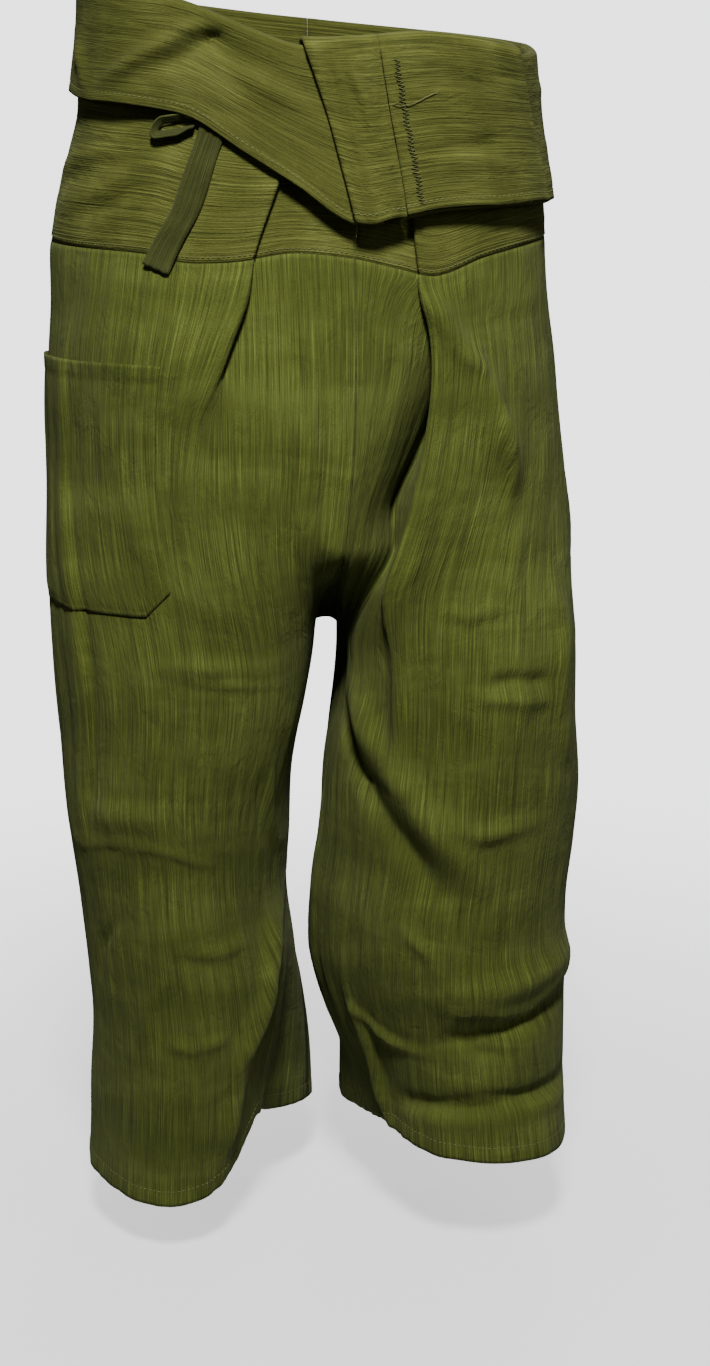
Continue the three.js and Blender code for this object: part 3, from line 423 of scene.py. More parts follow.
def bell(distance, width):
    """1 in the middle, falling away on both sides."""
    return np.exp(-(distance / width) ** 2)


def unit(vectors):
    """Vectors of length 1 in the same directions."""
    return vectors / np.maximum(np.linalg.norm(vectors, axis=-1, keepdims=True), 1e-9)


def together(*values):
    """Arrays of any shapes that fit, side by side along a new last axis."""
    return np.stack(np.broadcast_arrays(*values), -1)


def ease(a, b, x):
    """Smooth step from 0 at a to 1 at b."""
    t = np.clip((x - a) / (b - a), 0, 1)
    return t * t * (3 - 2 * t)


def cubic(t, start, start_slope, end, end_slope):
    """Cubic curve from start at 0 to end at 1, with its slope at both."""
    return ((2 * t ** 3 - 3 * t ** 2 + 1) * start + (t ** 3 - 2 * t ** 2 + t) * start_slope
            + ((3 * t ** 2 - 2 * t ** 3) * end + (t ** 3 - t ** 2) * end_slope))


def along(rows, key, column, x):
    """Smooth curve through the rows of a table: a cubic between two rows whose slope at each row joins
    the rows beside it, flat beyond the ends."""
    keys = rows[key]
    values = rows[column]
    if keys[-1] < keys[0]:
        keys = keys[::-1]
        values = values[::-1]
    ends = np.r_[values[:1], values, values[-1:]]
    places = np.r_[keys[:1], keys, keys[-1:]]
    slope = (ends[2:] - ends[:-2]) / (places[2:] - places[:-2])
    i = np.clip(np.searchsorted(keys, x, side="right") - 1, 0, len(keys) - 2)
    span = keys[i + 1] - keys[i]
    t = np.clip((x - keys[i]) / span, 0, 1)
    return cubic(t, values[i], slope[i] * span, values[i + 1], slope[i + 1] * span)


def oval_point(at, height, out):
    """Point of the body oval at an angle in degrees, moved outwards along the oval's normal."""
    cx = along(BODY, "z", "cx", height)
    cy = along(BODY, "z", "cy", height)
    a = along(BODY, "z", "half_width", height)
    b = along(BODY, "z", "half_depth", height)
    turn = np.radians(at)
    nx = np.sin(turn) / a
    ny = -np.cos(turn) / b
    n = np.hypot(nx, ny)
    x = cx + a * np.sin(turn) + out * nx / n
    y = cy - b * np.cos(turn) + out * ny / n
    return together(x, y, height).astype(float)


def half_turn(s, tip, side, out, radius):
    """Nine knots of a half circle round a pleat's tip: the angle follows 1 - cos of the turn, the
    distance out follows its sin."""
    knots = []
    for k in range(-4, 5):
        turn = math.radians(22.5 * k)
        at = tip + side * (1 - math.cos(turn)) * radius / MM_PER_DEGREE
        knots.append((s + TURN_S * k / 4, at, out + math.sin(turn) * radius))
    return knots


def right_path(front, inner, outer, pitch, rise):
    """Pleat path of the right half: knots of share, angle and distance out, front seam to back seam."""
    r = pitch / 2
    return [
        (0, front, 0),
        *half_turn(RIGHT_INNER_S, inner, 1, r, r),
        *half_turn(RIGHT_OUTER_S, outer, -1, 3 * r + rise, r),
        (POCKET_FRONT_S, mix(outer, -90, 0.22), 1.8 * pitch + 0.9 * rise),
        (0.36, mix(outer, -90, 0.54), 1.3 * pitch + 0.6 * rise),
        (SIDE_S, -96, 0),
        (1, -180, 0),
    ]


def left_path(row):
    """Pleat path of the left half: the deep pleat goes in to the bottom and comes out to the edge."""
    return [
        (0, row["front"], 0),
        (LEFT_LIP_S - 0.012, row["lip"] - 1.4, row["lip_out"]),
        (LEFT_LIP_S, row["lip"], row["lip_out"] * 0.8 + row["bottom_out"] * 0.05),
        *half_turn(LEFT_INNER_S, row["bottom"], -1, row["bottom_out"], row["turn"]),
        *half_turn(LEFT_OUTER_S, row["edge"], 1, row["edge_out"], row["roll"]),
        (0.47, np.maximum(row["bottom"] + 5, mix(row["edge"], 90, 0.42)), row["edge_out"] + row["roll"]),
        (0.64, 97, 0),
        (1, 180, 0),
    ]


def band_path(side, v):
    """Pleat path of either waistband at v, 0 at the yoke seam, 0.5 at the top and 1 at the flap hem."""
    row = {name: along(BAND_PLEATS, "v", name, v) for name in BAND_PLEATS if name != "v"}
    r = LAYER_PITCH / 2
    if side == "right":
        return right_path(row["front"], row["right_inner"], row["right_outer"], LAYER_PITCH, 0)
    return left_path({
        "front": row["front"], "lip": mix(row["front"], row["left_inner"], 0.5), "lip_out": 0,
        "bottom": row["left_inner"], "bottom_out": r, "turn": r,
        "edge": row["left_outer"], "edge_out": 3 * r, "roll": r,
    })


def hip_path(side, z):
    """Pleat path of either leg below the yoke: the small pleat opens flat, the deep one into a hollow."""
    front = along(FRONT_SEAM, "z", "at", z)
    if side == "left":
        row = {name: along(LEFT_HIP, "z", name, z) for name in LEFT_HIP if name != "z"}
        row["front"] = front
        return left_path(row)
    row = {name: along(RIGHT_HIP, "z", name, z) for name in RIGHT_HIP if name != "z"}
    opened = np.clip(row["open"], 0, 1)
    inner = BAND_PLEATS["right_inner"][0]
    outer = BAND_PLEATS["right_outer"][0]
    knots = []
    for s, at, out in right_path(front, inner, outer, row["pitch"], row["rise"]):
        if s > RIGHT_OUTER_S + 0.01:
            place = at - 5 * opened * (1 - ease(POCKET_FRONT_S, SIDE_S, s))
        else:
            place = mix(at, mix(front, POCKET_FRONT_AT, min(1, s / POCKET_FRONT_S)), opened)
        stand = row["step"] * ease(0.035, 0.05, s) * (1 - ease(0.18, 0.5, s))
        knots.append((s, place, out * (1 - opened) + stand))
    return knots


def on_path(side, path, s):
    """Angle and distance out at the shares s: straight lines between the knots, averaged over a window
    that is narrow at the half turns and wide away from them."""
    turns = (RIGHT_INNER_S, RIGHT_OUTER_S) if side == "right" else (LEFT_LIP_S, LEFT_INNER_S, LEFT_OUTER_S)
    away = np.min([np.abs(s - turn) - TURN_S for turn in turns], axis=0)
    window = np.minimum(np.clip(away * 0.8, 0.0012, 0.017), np.minimum(s, 1 - s) * 0.9)
    places = np.array([knot[0] for knot in path], float)
    weights = np.zeros((len(s), len(path)))
    taps = np.linspace(-0.9, 0.9, 9)
    whole = sum(1 + math.cos(math.pi * tap) for tap in taps)
    for tap in taps:
        share = (1 + math.cos(math.pi * tap)) / whole
        for k in range(len(path)):
            weights[:, k] += share * np.interp(s + tap * window, places, np.eye(len(path))[k])
    at = sum(weights[:, k] * knot[1] for k, knot in enumerate(path))
    out = sum(weights[:, k] * knot[2] for k, knot in enumerate(path))
    return at, out


def leg_ring(side, s, z):
    """Ring of a leg: the radius follows a smooth curve through the eight directions of its section."""
    sections = SECTIONS[side]
    seam = np.where(s == 0, 1.0, np.where(s == 1, -1.0, 0.0))
    bearing = along(ROUNDS[side], "s", "at", s) + seam * math.degrees(SEAM_GAP / 2 / LEG_RADIUS)
    radii = np.stack([along(sections, "z", name, z) for name in DIRECTIONS])
    turn = (bearing % 360) / 45
    k = np.floor(turn).astype(int)
    t = turn - k
    columns = np.arange(len(s))
    before, here, after, beyond = (radii[(k + step) % 8, :, columns].T for step in (-1, 0, 1, 2))
    radius = 0.5 * (2 * here + (after - before) * t + (2 * before - 5 * here + 4 * after - beyond) * t ** 2
                    + (3 * here - before - 3 * after + beyond) * t ** 3)
    inward = 1 if side == "right" else -1
    x = along(sections, "z", "cx", z) + inward * radius * np.cos(np.radians(bearing))
    y = along(sections, "z", "cy", z) - radius * np.sin(np.radians(bearing))
    return np.stack([x, y, z], -1)


def fold_height(side, s, z):
    """Sum of the largest folds: each is a bell across its line and fades to both ends as a sine."""
    folds = FOLDS[side]
    total = np.zeros(np.broadcast(s, z).shape)
    for s1, z1, s2, z2, wide, high in zip(*(folds[name] for name in FOLD_COLUMNS)):
        dx = (s2 - s1) * CUT_WIDTH
        dz = z2 - z1
        t = ((s - s1) * CUT_WIDTH * dx + (z - z1) * dz) / (dx * dx + dz * dz)
        c = np.clip(t, 0, 1)
        d = np.hypot((s - s1) * CUT_WIDTH - c * dx, z - z1 - c * dz) / wide
        total += high * np.exp(-d * d) * np.sin(math.pi * np.clip(mix(0.12, 0.88, t), 0, 1))
    return total


def crease_height(creases, scale, s, z):
    """Sum of the listed creases: a bell across a bent line, with its own width on each side, that
    fades to both ends and wavers a little along its length."""
    x = s * scale + z * 0
    total = np.zeros(x.shape)
    for points, wide_left, wide_right, high in creases:
        line = np.array(points, float) * (scale, 1)
        lengths = np.hypot(*np.diff(line, axis=0).T)
        whole = lengths.sum()
        near = np.full(x.shape, 1e9)
        place = np.zeros(x.shape)
        left = np.zeros(x.shape, bool)
        for k, (a, b) in enumerate(zip(line[:-1], line[1:])):
            step = (b - a) / lengths[k]
            t = np.clip((x - a[0]) * step[0] + (z - a[1]) * step[1], 0, lengths[k])
            dx = x - a[0] - t * step[0]
            dz = z - a[1] - t * step[1]
            d = np.hypot(dx, dz)
            closer = d < near
            near = np.where(closer, d, near)
            place = np.where(closer, (lengths[:k].sum() + t) / whole, place)
            left = np.where(closer, step[0] * dz - step[1] * dx > 0, left)
        wide = np.where(left, wide_left, wide_right)
        fade = np.sin(math.pi * mix(0.06, 0.94, place)) ** 0.7
        waver = 1 + 0.2 * np.sin(place * 9 + whole)
        total += high * bell(near, wide) * fade * waver
    return total


def ripple(u, v, cell_u, cell_v, seed):
    """Smooth noise from -1 to 1: seeded random values on cells of the given size, joined by smooth steps."""
    x = u / cell_u + v * 0
    y = v / cell_v + u * 0
    i = np.floor(x).astype(int)
    j = np.floor(y).astype(int)
    fx = ease(0, 1, x - i)
    fy = ease(0, 1, y - j)
    i -= i.min()
    j -= j.min()
    values = np.random.default_rng(seed).uniform(-1, 1, (i.max() + 2, j.max() + 2))
    near = mix(values[i, j], values[i + 1, j], fx)
    far = mix(values[i, j + 1], values[i + 1, j + 1], fx)
    return mix(near, far, fy)


def crinkle(u, v, depth, seed):
    """Crinkled cotton: long narrow ripples along v, broader ones below them and a soft unevenness."""
    fine = ripple(u, v, 7, 60, seed) * 0.35
    middle = ripple(u + 3 * ripple(u, v, 90, 70, seed + 1), v, 17, 120, seed + 2) * 0.6
    broad = ripple(u, v, 55, 80, seed + 3) * 0.9
    return depth * (fine + middle + broad)


def grid_normals(grid, sign, flat_rows=()):
    """Outward direction at each point of a grid, from the points beside it."""
    across = np.empty_like(grid)
    across[:, 1:-1] = grid[:, 2:] - grid[:, :-2]
    across[:, 0] = grid[:, 1] - grid[:, 0]
    across[:, -1] = grid[:, -1] - grid[:, -2]
    down = np.empty_like(grid)
    down[1:-1] = grid[2:] - grid[:-2]
    down[0] = grid[1] - grid[0]
    down[-1] = grid[-1] - grid[-2]
    for row in flat_rows:
        down[row] = (0, 0, -1)
        across[row, :, 2] = 0
    return unit(np.cross(across, down) * sign)


def spaced(*stops):
    """Values from stop to stop: each stop but the first is a value and the number of steps to it."""
    values = [float(stops[0])]
    for value, steps in stops[1:]:
        values.extend(np.linspace(values[-1], value, steps + 1)[1:])
    return np.array(values)


# Shares of the cut width where the columns of each half lie, closer together round the half turns
COLUMNS = {
    "right": spaced(0, (0.156, 34), (0.164, 8), (0.201, 9), (0.209, 8), (0.6, 80), (1, 56)),
    "left": spaced(0, (0.085, 14), (0.104, 11), (0.196, 20), (0.204, 8), (0.326, 26), (0.334, 8),
                   (0.66, 68), (1, 46)),
}
# Heights of a leg's rows, and the rows of the waistband: up the yoke, degrees over the top, down the flap
LEG_ROWS = np.linspace(SEAM_LEVEL, HEM_LEVEL, 222)
YOKE_STEPS = np.linspace(0, 0.97, 34)
TURN_STEPS = np.linspace(0, 180, 13)
FLAP_STEPS = np.linspace(0.03, 1, 44)
FLAP_ROW = len(YOKE_STEPS) + len(TURN_STEPS)
YOKE_STITCH_ROW = 0.84
BAND_ROWS = np.concatenate([
    YOKE_STEPS * YOKE_END,
    YOKE_END + (FLAP_START - YOKE_END) * TURN_STEPS / 180,
    FLAP_START + (1 - FLAP_START) * FLAP_STEPS,
])


def leg_surface(side, sizes):
    """Middle surface of a leg: the hip's pleat path round the body oval, passing over into the leg's own
    ring, with the largest folds, the creases and the crinkle moved out along the normal."""
    s = COLUMNS[side]
    level = LEG_ROWS[:, None]
    sign = SIGNS[side]
    seam_at, seam_out = on_path(side, band_path(side, 0), s)
    seam_height = along(EDGES, "at", "seam", seam_at) - SEAM_GAP / 2
    bearing = along(ROUNDS[side], "s", "at", s)
    hem = along(HEMS[side], "at", "z", np.where(bearing > 270, bearing - 360, bearing))
    z = level + (seam_height - SEAM_LEVEL) * (1 - ease(SEAM_LEVEL, SEAM_SHAPE_END, level))
    z = z + (hem - HEM_LEVEL) * ease(HEM_SHAPE_START, HEM_LEVEL, level)
    away = ease(*GATHER[side], s) * ease(1, GATHER_BACK, s)
    blend = ease(BLEND_TOP + BLEND_TOP_AWAY * away, CORNER_LEVEL - BLEND_END_AWAY * away, z)
    at, out = on_path(side, hip_path(side, np.minimum(z, SEAM_LEVEL)), s)
    sewn = 1 - ease(SEAM_LEVEL, SEWN_END, level)
    at = mix(at, seam_at, sewn)
    out = mix(out, seam_out, sewn)
    base = mix(oval_point(at + seam_shift(side), z, out), leg_ring(side, s, z), blend[..., None])
    base[..., 2] = z
    free = ease(0, 0.03, s) * ease(1, 0.97, s) * ease(SEAM_LEVEL, FOLD_START, level)
    height = fold_height(side, s, z) * free
    grid = base + grid_normals(base, sign, (0,)) * height[..., None]
    grid[..., 2] = z

    u = s * CUT_WIDTH
    small = 2.0 * crease_height(LEG_CREASES[side], CUT_WIDTH, s, z)
    small = small + crinkle(u, z, sizes.crinkle_depth * 1000, LEG_SEEDS[side])
    # Where layers lie on each other in the pleats they keep their distance
    first, last, start = LAYERED[side]
    calm = 1 - 0.75 * (s > first) * (s < last) * ease(start, CALM_END, z)
    pucker = 0.5 * ripple(u, z, 6, 40, 5) * bell(level - SEAM_LEVEL, 16)
    above = level - HEM_LEVEL
    hem_line = 0.35 * ease(LEG_HEM + 2, LEG_HEM - 1, above) - 0.5 * bell(above - LEG_HEM, 1.8)
    small = small * calm * ease(0, 0.012, s) * ease(1, 0.988, s) + pucker + hem_line
    small = small * ease(SEAM_LEVEL, SEAM_LEVEL - 5, level)
    grid = grid + grid_normals(grid, sign, (0,)) * small[..., None]
    return grid, grid_normals(grid, sign, (0,))


def seam_shift(side):
    """Half the seam's gap as an angle, on the first and last column of a half."""
    s = COLUMNS[side]
    ends = np.where(s == 0, -SIGNS[side], np.where(s == 1, SIGNS[side], 0))
    return ends * SEAM_GAP / 2 / MM_PER_DEGREE


def flap_spread(at):
    """How far the flap's outer layer stands off the body, more at the front than at the sides."""
    return mix(FLAP_SPREAD_FRONT, FLAP_SPREAD_SIDE, ease(48, 100, np.abs(at - 10)))


def band_surface(side, sizes):
    """Middle surface of a waistband half: up the yoke, round a half circle at the top and down the flap,
    where the layers of the pleats lie in reverse order."""
    u = COLUMNS[side] * CUT_WIDTH
    depth = sizes.crinkle_depth * 500
    seed = BAND_SEEDS[side]

    def part(first, end):
        """Angle, distance out and top of the yoke along the pleat path at some rows of the band."""
        at, out = on_path(side, band_path(side, BAND_ROWS[first:end, None]), COLUMNS[side])
        return at, out, along(EDGES, "at", "top", at) - flap_spread(at) / 2

    at, out, turn_start = part(0, len(YOKE_STEPS))
    t = YOKE_STEPS[:, None]
    seam = along(EDGES, "at", "seam", at)
    height = mix(seam, turn_start, t) + np.where(t == 0, SEAM_GAP / 2, 0)
    above = height - seam
    lift = 1.3 * crease_height(YOKE_CREASES, MM_PER_DEGREE, at, height) + crinkle(height, u, depth, seed)
    lift = lift * ease(0, 8, above) * (1 - ease(0.75, 1, t)) + 0.4 * bell(above - 4, 2.5)
    yoke = oval_point(at + seam_shift(side), height, out + lift)

    at, out, turn_start = part(len(YOKE_STEPS), FLAP_ROW)
    turn = np.radians(TURN_STEPS)[:, None]
    half = flap_spread(at) / 2
    radius = half - out
    top = oval_point(at + seam_shift(side), turn_start, half - radius * np.cos(turn))
    top[..., 2] = turn_start + radius * np.sin(turn)

    at, out, turn_start = part(FLAP_ROW, len(BAND_ROWS))
    t = FLAP_STEPS[:, None]
    hem = along(EDGES, "at", "hem", at) - out * FLAP_SHORTER + 1.3 * ripple(u, t, 34, 2, seed + 5)
    height = mix(turn_start, hem, t)
    above = height - hem
    lift = 2.0 * crease_height(FLAP_CREASES, MM_PER_DEGREE, at, height) + crinkle(height, u, depth, seed + 7)
    lift = lift * ease(0, 0.2, t) * (1 - 0.6 * ease(0.85, 1, t))
    lift = lift + 0.3 * ease(FLAP_HEM + 1.5, FLAP_HEM - 1, above) - 0.55 * bell(above - FLAP_HEM, 1.2)
    lift = lift + 1.6 * ripple(u, height, 30, 400, seed + 9) * ease(0.6, 1, t)
    if side == "left":
        raw_edge = ALLOWANCE + 1.3 * ripple(0 * u, t * 150, 1, 9, 77)
        lift = lift + 1.3 * ease(0.9, -0.9, u - raw_edge) * ease(0, 0.06, t)
    flap = oval_point(at + seam_shift(side), height, flap_spread(at) - out + lift)

    grid = np.concatenate([yoke, top, flap])
    return grid, grid_normals(grid, -SIGNS[side], (0,))


def at_index(grid, row, column):
    """Values of a grid at rows and columns that may lie between its own."""
    i = np.clip(np.floor(row).astype(int), 0, grid.shape[0] - 2)
    j = np.clip(np.floor(column).astype(int), 0, grid.shape[1] - 2)
    right = (column - j)[..., None]
    upper = mix(grid[i, j], grid[i, j + 1], right)
    lower = mix(grid[i + 1, j], grid[i + 1, j + 1], right)
    return mix(upper, lower, (row - i)[..., None])


def column_of(side, s):
    """Where the shares s of the cut width lie among the columns of a half."""
    return np.interp(s, COLUMNS[side], np.arange(len(COLUMNS[side])))


def on_leg(side, grid, s, level):
    """Values of a leg's grid at shares of the cut width and at heights."""
    return at_index(grid, (level - LEG_ROWS[0]) / (LEG_ROWS[1] - LEG_ROWS[0]), column_of(side, s))


def new_mesh(name, vertices, faces, uv, material):
    """Mesh object in metres from arrays of vertices, four-sided faces and a flat place for each vertex;
    faces are turned outwards by the sign of the enclosed volume."""
    a, b, c, d = (vertices[faces[:, k]] for k in range(4))
    volume = np.sum(np.cross(a, b) * c) + np.sum(np.cross(a, c) * d)
    if volume < 0:
        faces = faces[:, ::-1]
    mesh = bpy.data.meshes.new(name)
    mesh.vertices.add(len(vertices))
    mesh.vertices.foreach_set("co", np.ascontiguousarray(vertices * MM, dtype=np.float32).ravel())
    mesh.loops.add(faces.size)
    mesh.loops.foreach_set("vertex_index", np.ascontiguousarray(faces, dtype=np.int32).ravel())
    mesh.polygons.add(len(faces))
    mesh.polygons.foreach_set("loop_start", np.arange(0, faces.size, 4, dtype=np.int32))
    mesh.polygons.foreach_set("loop_total", np.full(len(faces), 4, dtype=np.int32))
    mesh.polygons.foreach_set("use_smooth", np.full(len(faces), True))
    layer = mesh.uv_layers.new(name="cloth")
    flat = (uv * MM)[faces.ravel()]
    layer.data.foreach_set("uv", np.ascontiguousarray(flat, dtype=np.float32).ravel())
    mesh.update(calc_edges=True)
    mesh.validate()
    mesh.materials.append(material)
    obj = bpy.data.objects.new(name, mesh)
    bpy.context.scene.collection.objects.link(obj)
    return obj


def cloth_wall(name, grid, normals, flat, thickness, material, inner_extra=0.0):
    """Closed wall of cloth on both sides of a grid of middle points, with a rim along its four edges."""
    rows, cols = grid.shape[:2]
    extra = np.broadcast_to(inner_extra, (rows, cols))[..., None]
    outer = grid + normals * thickness / 2
    inner = grid - normals * (thickness / 2 + extra)
    vertices = np.concatenate([outer.reshape(-1, 3), inner.reshape(-1, 3)])
    n = rows * cols
    index = np.arange(n).reshape(rows, cols)
    a, b, c, d = index[:-1, :-1], index[1:, :-1], index[1:, 1:], index[:-1, 1:]
    front = np.stack([a, b, c, d], -1).reshape(-1, 4)
    back = front[:, ::-1] + n
    rim = np.concatenate([index[0, ::-1], index[1:, 0], index[-1, 1:], index[-2:0:-1, -1], index[0, -1:]])
    rim_faces = np.stack([rim[:-1], rim[:-1] + n, rim[1:] + n, rim[1:]], -1)
    faces = np.concatenate([front, back, rim_faces])
    return new_mesh(name, vertices, faces, np.concatenate([flat.reshape(-1, 2)] * 2), material)


def tube(name, points, radius, material):
    """Thread: rings of six points carried along each path of an array of paths, pinched at both ends."""
    sides = 6
    paths = points if points.ndim == 3 else points[None]
    count, rings = paths.shape[:2]
    ahead = unit(np.gradient(paths, axis=1))
    helper = np.where(np.abs(ahead[..., 2:]) > 0.9, (1.0, 0.0, 0.0), (0.0, 0.0, 1.0))
    side = unit(np.cross(ahead, helper))
    up = np.cross(side, ahead)
    t = np.linspace(0, 1, rings)
    wide = radius * np.sqrt(np.clip(np.sin(math.pi * mix(0.08, 0.92, t)) * 1.6, 0, 1))
    wide[[0, -1]] = radius * 0.05
    angle = np.arange(sides) * 2 * math.pi / sides
    ring = side[:, :, None] * np.cos(angle)[:, None] + up[:, :, None] * np.sin(angle)[:, None]
    vertices = paths[:, :, None] + ring * wide[:, None, None]
    index = np.arange(count * rings * sides).reshape(count, rings, sides)
    a = index[:, :-1]
    b = index[:, 1:]
    faces = [np.stack([a, np.roll(a, -1, 2), np.roll(b, -1, 2), b], -1).reshape(-1, 4)]
    # Each end is closed by two faces that share the line across its ring
    for end, corners in ((index[:, 0], np.arange(4)), (index[:, -1], np.arange(4)[::-1])):
        faces.extend([end[:, corners], end[:, (corners + 3) % sides]])
    flat = together(np.linspace(0, 6, rings)[:, None], angle)
    flat = np.broadcast_to(flat, (count, rings, sides, 2)).reshape(-1, 2)
    return new_mesh(name, vertices.reshape(-1, 3), np.concatenate(faces), flat, material)


def stitch_paths(grid, normals, row, column, length, gap, lift):
    """Running stitch along a line over a grid: paths of four points, high in the middle of each stitch
    and sunk into the cloth at both ends, with a little unevenness in length."""
    points = at_index(grid, row, column)
    out = at_index(normals, row, column)
    place = np.r_[0, np.cumsum(np.linalg.norm(np.diff(points, axis=0), axis=1))]
    count = max(int(place[-1] / (length + gap)), 1)
    starts = (np.arange(count) + 0.5 * gap / (length + gap)) * place[-1] / count
    own = length * (1 + 0.12 * np.sin(np.arange(count) * 2.4))
    shares = np.array([0, 0.3, 0.7, 1])
    heights = np.array([-0.35, 0.0, 0.0, -0.35]) + lift
    want = starts[:, None] + own[:, None] * shares
    centre = np.stack([np.interp(want, place, points[:, k]) for k in range(3)], -1)
    away = np.stack([np.interp(want, place, out[:, k]) for k in range(3)], -1)
    return centre + away * heights[:, None]


def new_material(name):
    """Material with its node tree and its shader."""
    material = bpy.data.materials.new(name)
    material.use_nodes = True
    return material, material.node_tree, material.node_tree.nodes["Principled BSDF"]


def node_of(tree, kind, links=(), **values):
    """New node: links as pairs of output and input, values by input name with _ for a space."""
    node = tree.nodes.new("ShaderNode" + kind)
    for output, key in links:
        tree.links.new(output, node.inputs[key])
    settle(node, **values)
    return node


def settle(node, **values):
    """Set inputs of a node by name, with _ for a space."""
    for name, value in values.items():
        node.inputs[name.replace("_", " ")].default_value = value


def ramp(tree, value, *stops):
    """Colour ramp over a value, with stops of place and colour."""
    node = node_of(tree, "ValToRGB", [(value, "Fac")])
    while len(node.color_ramp.elements) < len(stops):
        node.color_ramp.elements.new(0.5)
    for element, (place, colour) in zip(node.color_ramp.elements, stops):
        element.position = place
        element.color = (*colour, 1)
    return node.outputs["Color"]


def tone(colour, factor, warm=0.0):
    """A colour made lighter or darker, and warmer or colder."""
    return (colour[0] * factor * (1 + warm), colour[1] * factor, colour[2] * factor * (1 - warm))


def slub_cotton(name, colour, across_first, strength):
    """Slub cotton: thick and thin yarns as long streaks, a plain weave below them, broad patches of painted
    sheen and painted shade that stand for light on pressed creases, and a soft sheen. The streaks run along
    the second axis of the cloth's flat map, or the first if turned."""
    material, tree, shader = new_material(name)
    flat = node_of(tree, "UVMap")
    flat.uv_map = "cloth"

    def noise(across, length, detail, roughness, shift=0.0, distortion=0.0):
        """Noise whose cells are 1/across wide and 1/length long, in metres on the cloth."""
        scale = (across, length, 1) if across_first else (length, across, 1)
        place = node_of(tree, "Mapping", [(flat.outputs["UV"], "Vector")],
                        Scale=scale, Location=(shift, shift * 1.7, 0))
        node = node_of(tree, "TexNoise", [(place.outputs["Vector"], "Vector")],
                       Scale=1, Detail=detail, Roughness=roughness, Distortion=distortion)
        return node.outputs["Fac"]

    def multiply(factor, first, second):
        """One colour times another, by a factor."""
        node = tree.nodes.new("ShaderNodeMix")
        node.data_type = "RGBA"
        node.blend_type = "MULTIPLY"
        settle(node, Factor=factor)
        tree.links.new(first, node.inputs["A"])
        tree.links.new(second, node.inputs["B"])
        return node.outputs["Result"]

    def sum_of(first, second, weight):
        """One height plus another times a weight."""
        node = node_of(tree, "Math", [(second, 0), (first, 2)])
        node.operation = "MULTIPLY_ADD"
        node.inputs[1].default_value = weight
        return node.outputs[0]

    yarn = noise(1500, 14, 2, 0.6)
    slub = noise(760, 11, 2, 0.6, 4.3)
    bands = noise(190, 4.5, 2, 0.5, 9.1)
    # patch: broad patches, wider than tall, that the ramp below paints lighter and bluer or darker: painted
    # sheen bands of pressed creases and painted shade between them
    patch = noise(9, 24, 3, 0.6, 2.7, 0.4)
    weave = noise(1300, 1100, 1, 0.5, 6.2)
    crumple = noise(70, 26, 4, 0.62, 3.9, 0.6)

    shade = ramp(tree, yarn, (0.34, tone(colour, 0.58)), (0.45, tone(colour, 0.92)),
                 (0.57, tone(colour, 1.06)), (0.68, tone(colour, 1.55, -0.02)))
    for factor, source, stops in (
        (0.85 * strength, slub, ((0.35, (0.6, 0.63, 0.52)), (0.44, (0.95, 0.95, 0.93)),
                                 (0.58, (1.02, 1.02, 1.02)), (0.66, (1.36, 1.4, 1.55)))),
        (0.85 * strength, bands, ((0.3, (0.84, 0.87, 0.8)), (0.5, (1, 1, 1)), (0.72, (1.08, 1.1, 1.16)))),
        # Painted sheen and painted shade in broad patches over the cloth
        (0.9, patch, ((0.34, (0.8, 0.83, 0.74)), (0.5, (1, 1, 1)), (0.66, (1.28, 1.3, 1.5)))),
        (0.7, weave, ((0.35, (0.82, 0.82, 0.82)), (0.65, (1.18, 1.18, 1.18)))),
    ):
        shade = multiply(factor, shade, ramp(tree, source, *stops))
    tree.links.new(shade, shader.inputs["Base Color"])

    rumple = node_of(tree, "Bump", [(crumple, "Height")], Strength=0.7, Distance=0.004)
    relief = sum_of(sum_of(yarn, slub, 1.2), weave, 0.35)
    bump = node_of(tree, "Bump", [(relief, "Height"), (rumple.outputs["Normal"], "Normal")],
                   Strength=0.75, Distance=0.0011)
    tree.links.new(bump.outputs["Normal"], shader.inputs["Normal"])
    settle(shader, Roughness=0.88, Specular_IOR_Level=0.12, Sheen_Weight=0.04, Sheen_Roughness=0.5,
           Sheen_Tint=(0.8, 0.85, 0.5, 1))
    return material


def plain_thread(name, colour):
    """Sewing thread: fine twisted bands along its length."""
    material, tree, shader = new_material(name)
    flat = node_of(tree, "UVMap")
    flat.uv_map = "cloth"
    twist = node_of(tree, "TexNoise", [(flat.outputs["UV"], "Vector")], Scale=900)
    shade = ramp(tree, twist.outputs["Fac"], (0.35, tone(colour, 0.7)), (0.65, tone(colour, 1.25)))
    tree.links.new(shade, shader.inputs["Base Color"])
    settle(shader, Roughness=0.8)
    return material


def pale_ground(name, colour):
    """Pale matt floor with a very faint unevenness, fading into the pale air with distance."""
    material, tree, shader = new_material(name)
    place = node_of(tree, "TexCoord").outputs["Object"]
    noise = node_of(tree, "TexNoise", [(place, "Vector")], Scale=3)
    shade = ramp(tree, noise.outputs["Fac"], (0.3, tone(colour, 0.985)), (0.7, tone(colour, 1.0)))
    tree.links.new(shade, shader.inputs["Base Color"])
    settle(shader, Roughness=0.95, Specular_IOR_Level=0.1)
    reach = node_of(tree, "VectorMath", [(place, 0)])
    reach.operation = "LENGTH"
    far = node_of(tree, "MapRange", [(reach.outputs["Value"], "Value")],
                  From_Min=FLOOR_FADE[0], From_Max=FLOOR_FADE[1])
    far.interpolation_type = "SMOOTHSTEP"
    clear = node_of(tree, "BsdfTransparent")
    either = node_of(tree, "MixShader", [
        (far.outputs["Result"], "Fac"), (shader.outputs["BSDF"], 1), (clear.outputs["BSDF"], 2)])
    tree.links.new(either.outputs["Shader"], tree.nodes["Material Output"].inputs["Surface"])
    return material


def shared(name, make, *values):
    """Material by name, made once."""
    return bpy.data.materials.get(name) or make(name, *values)


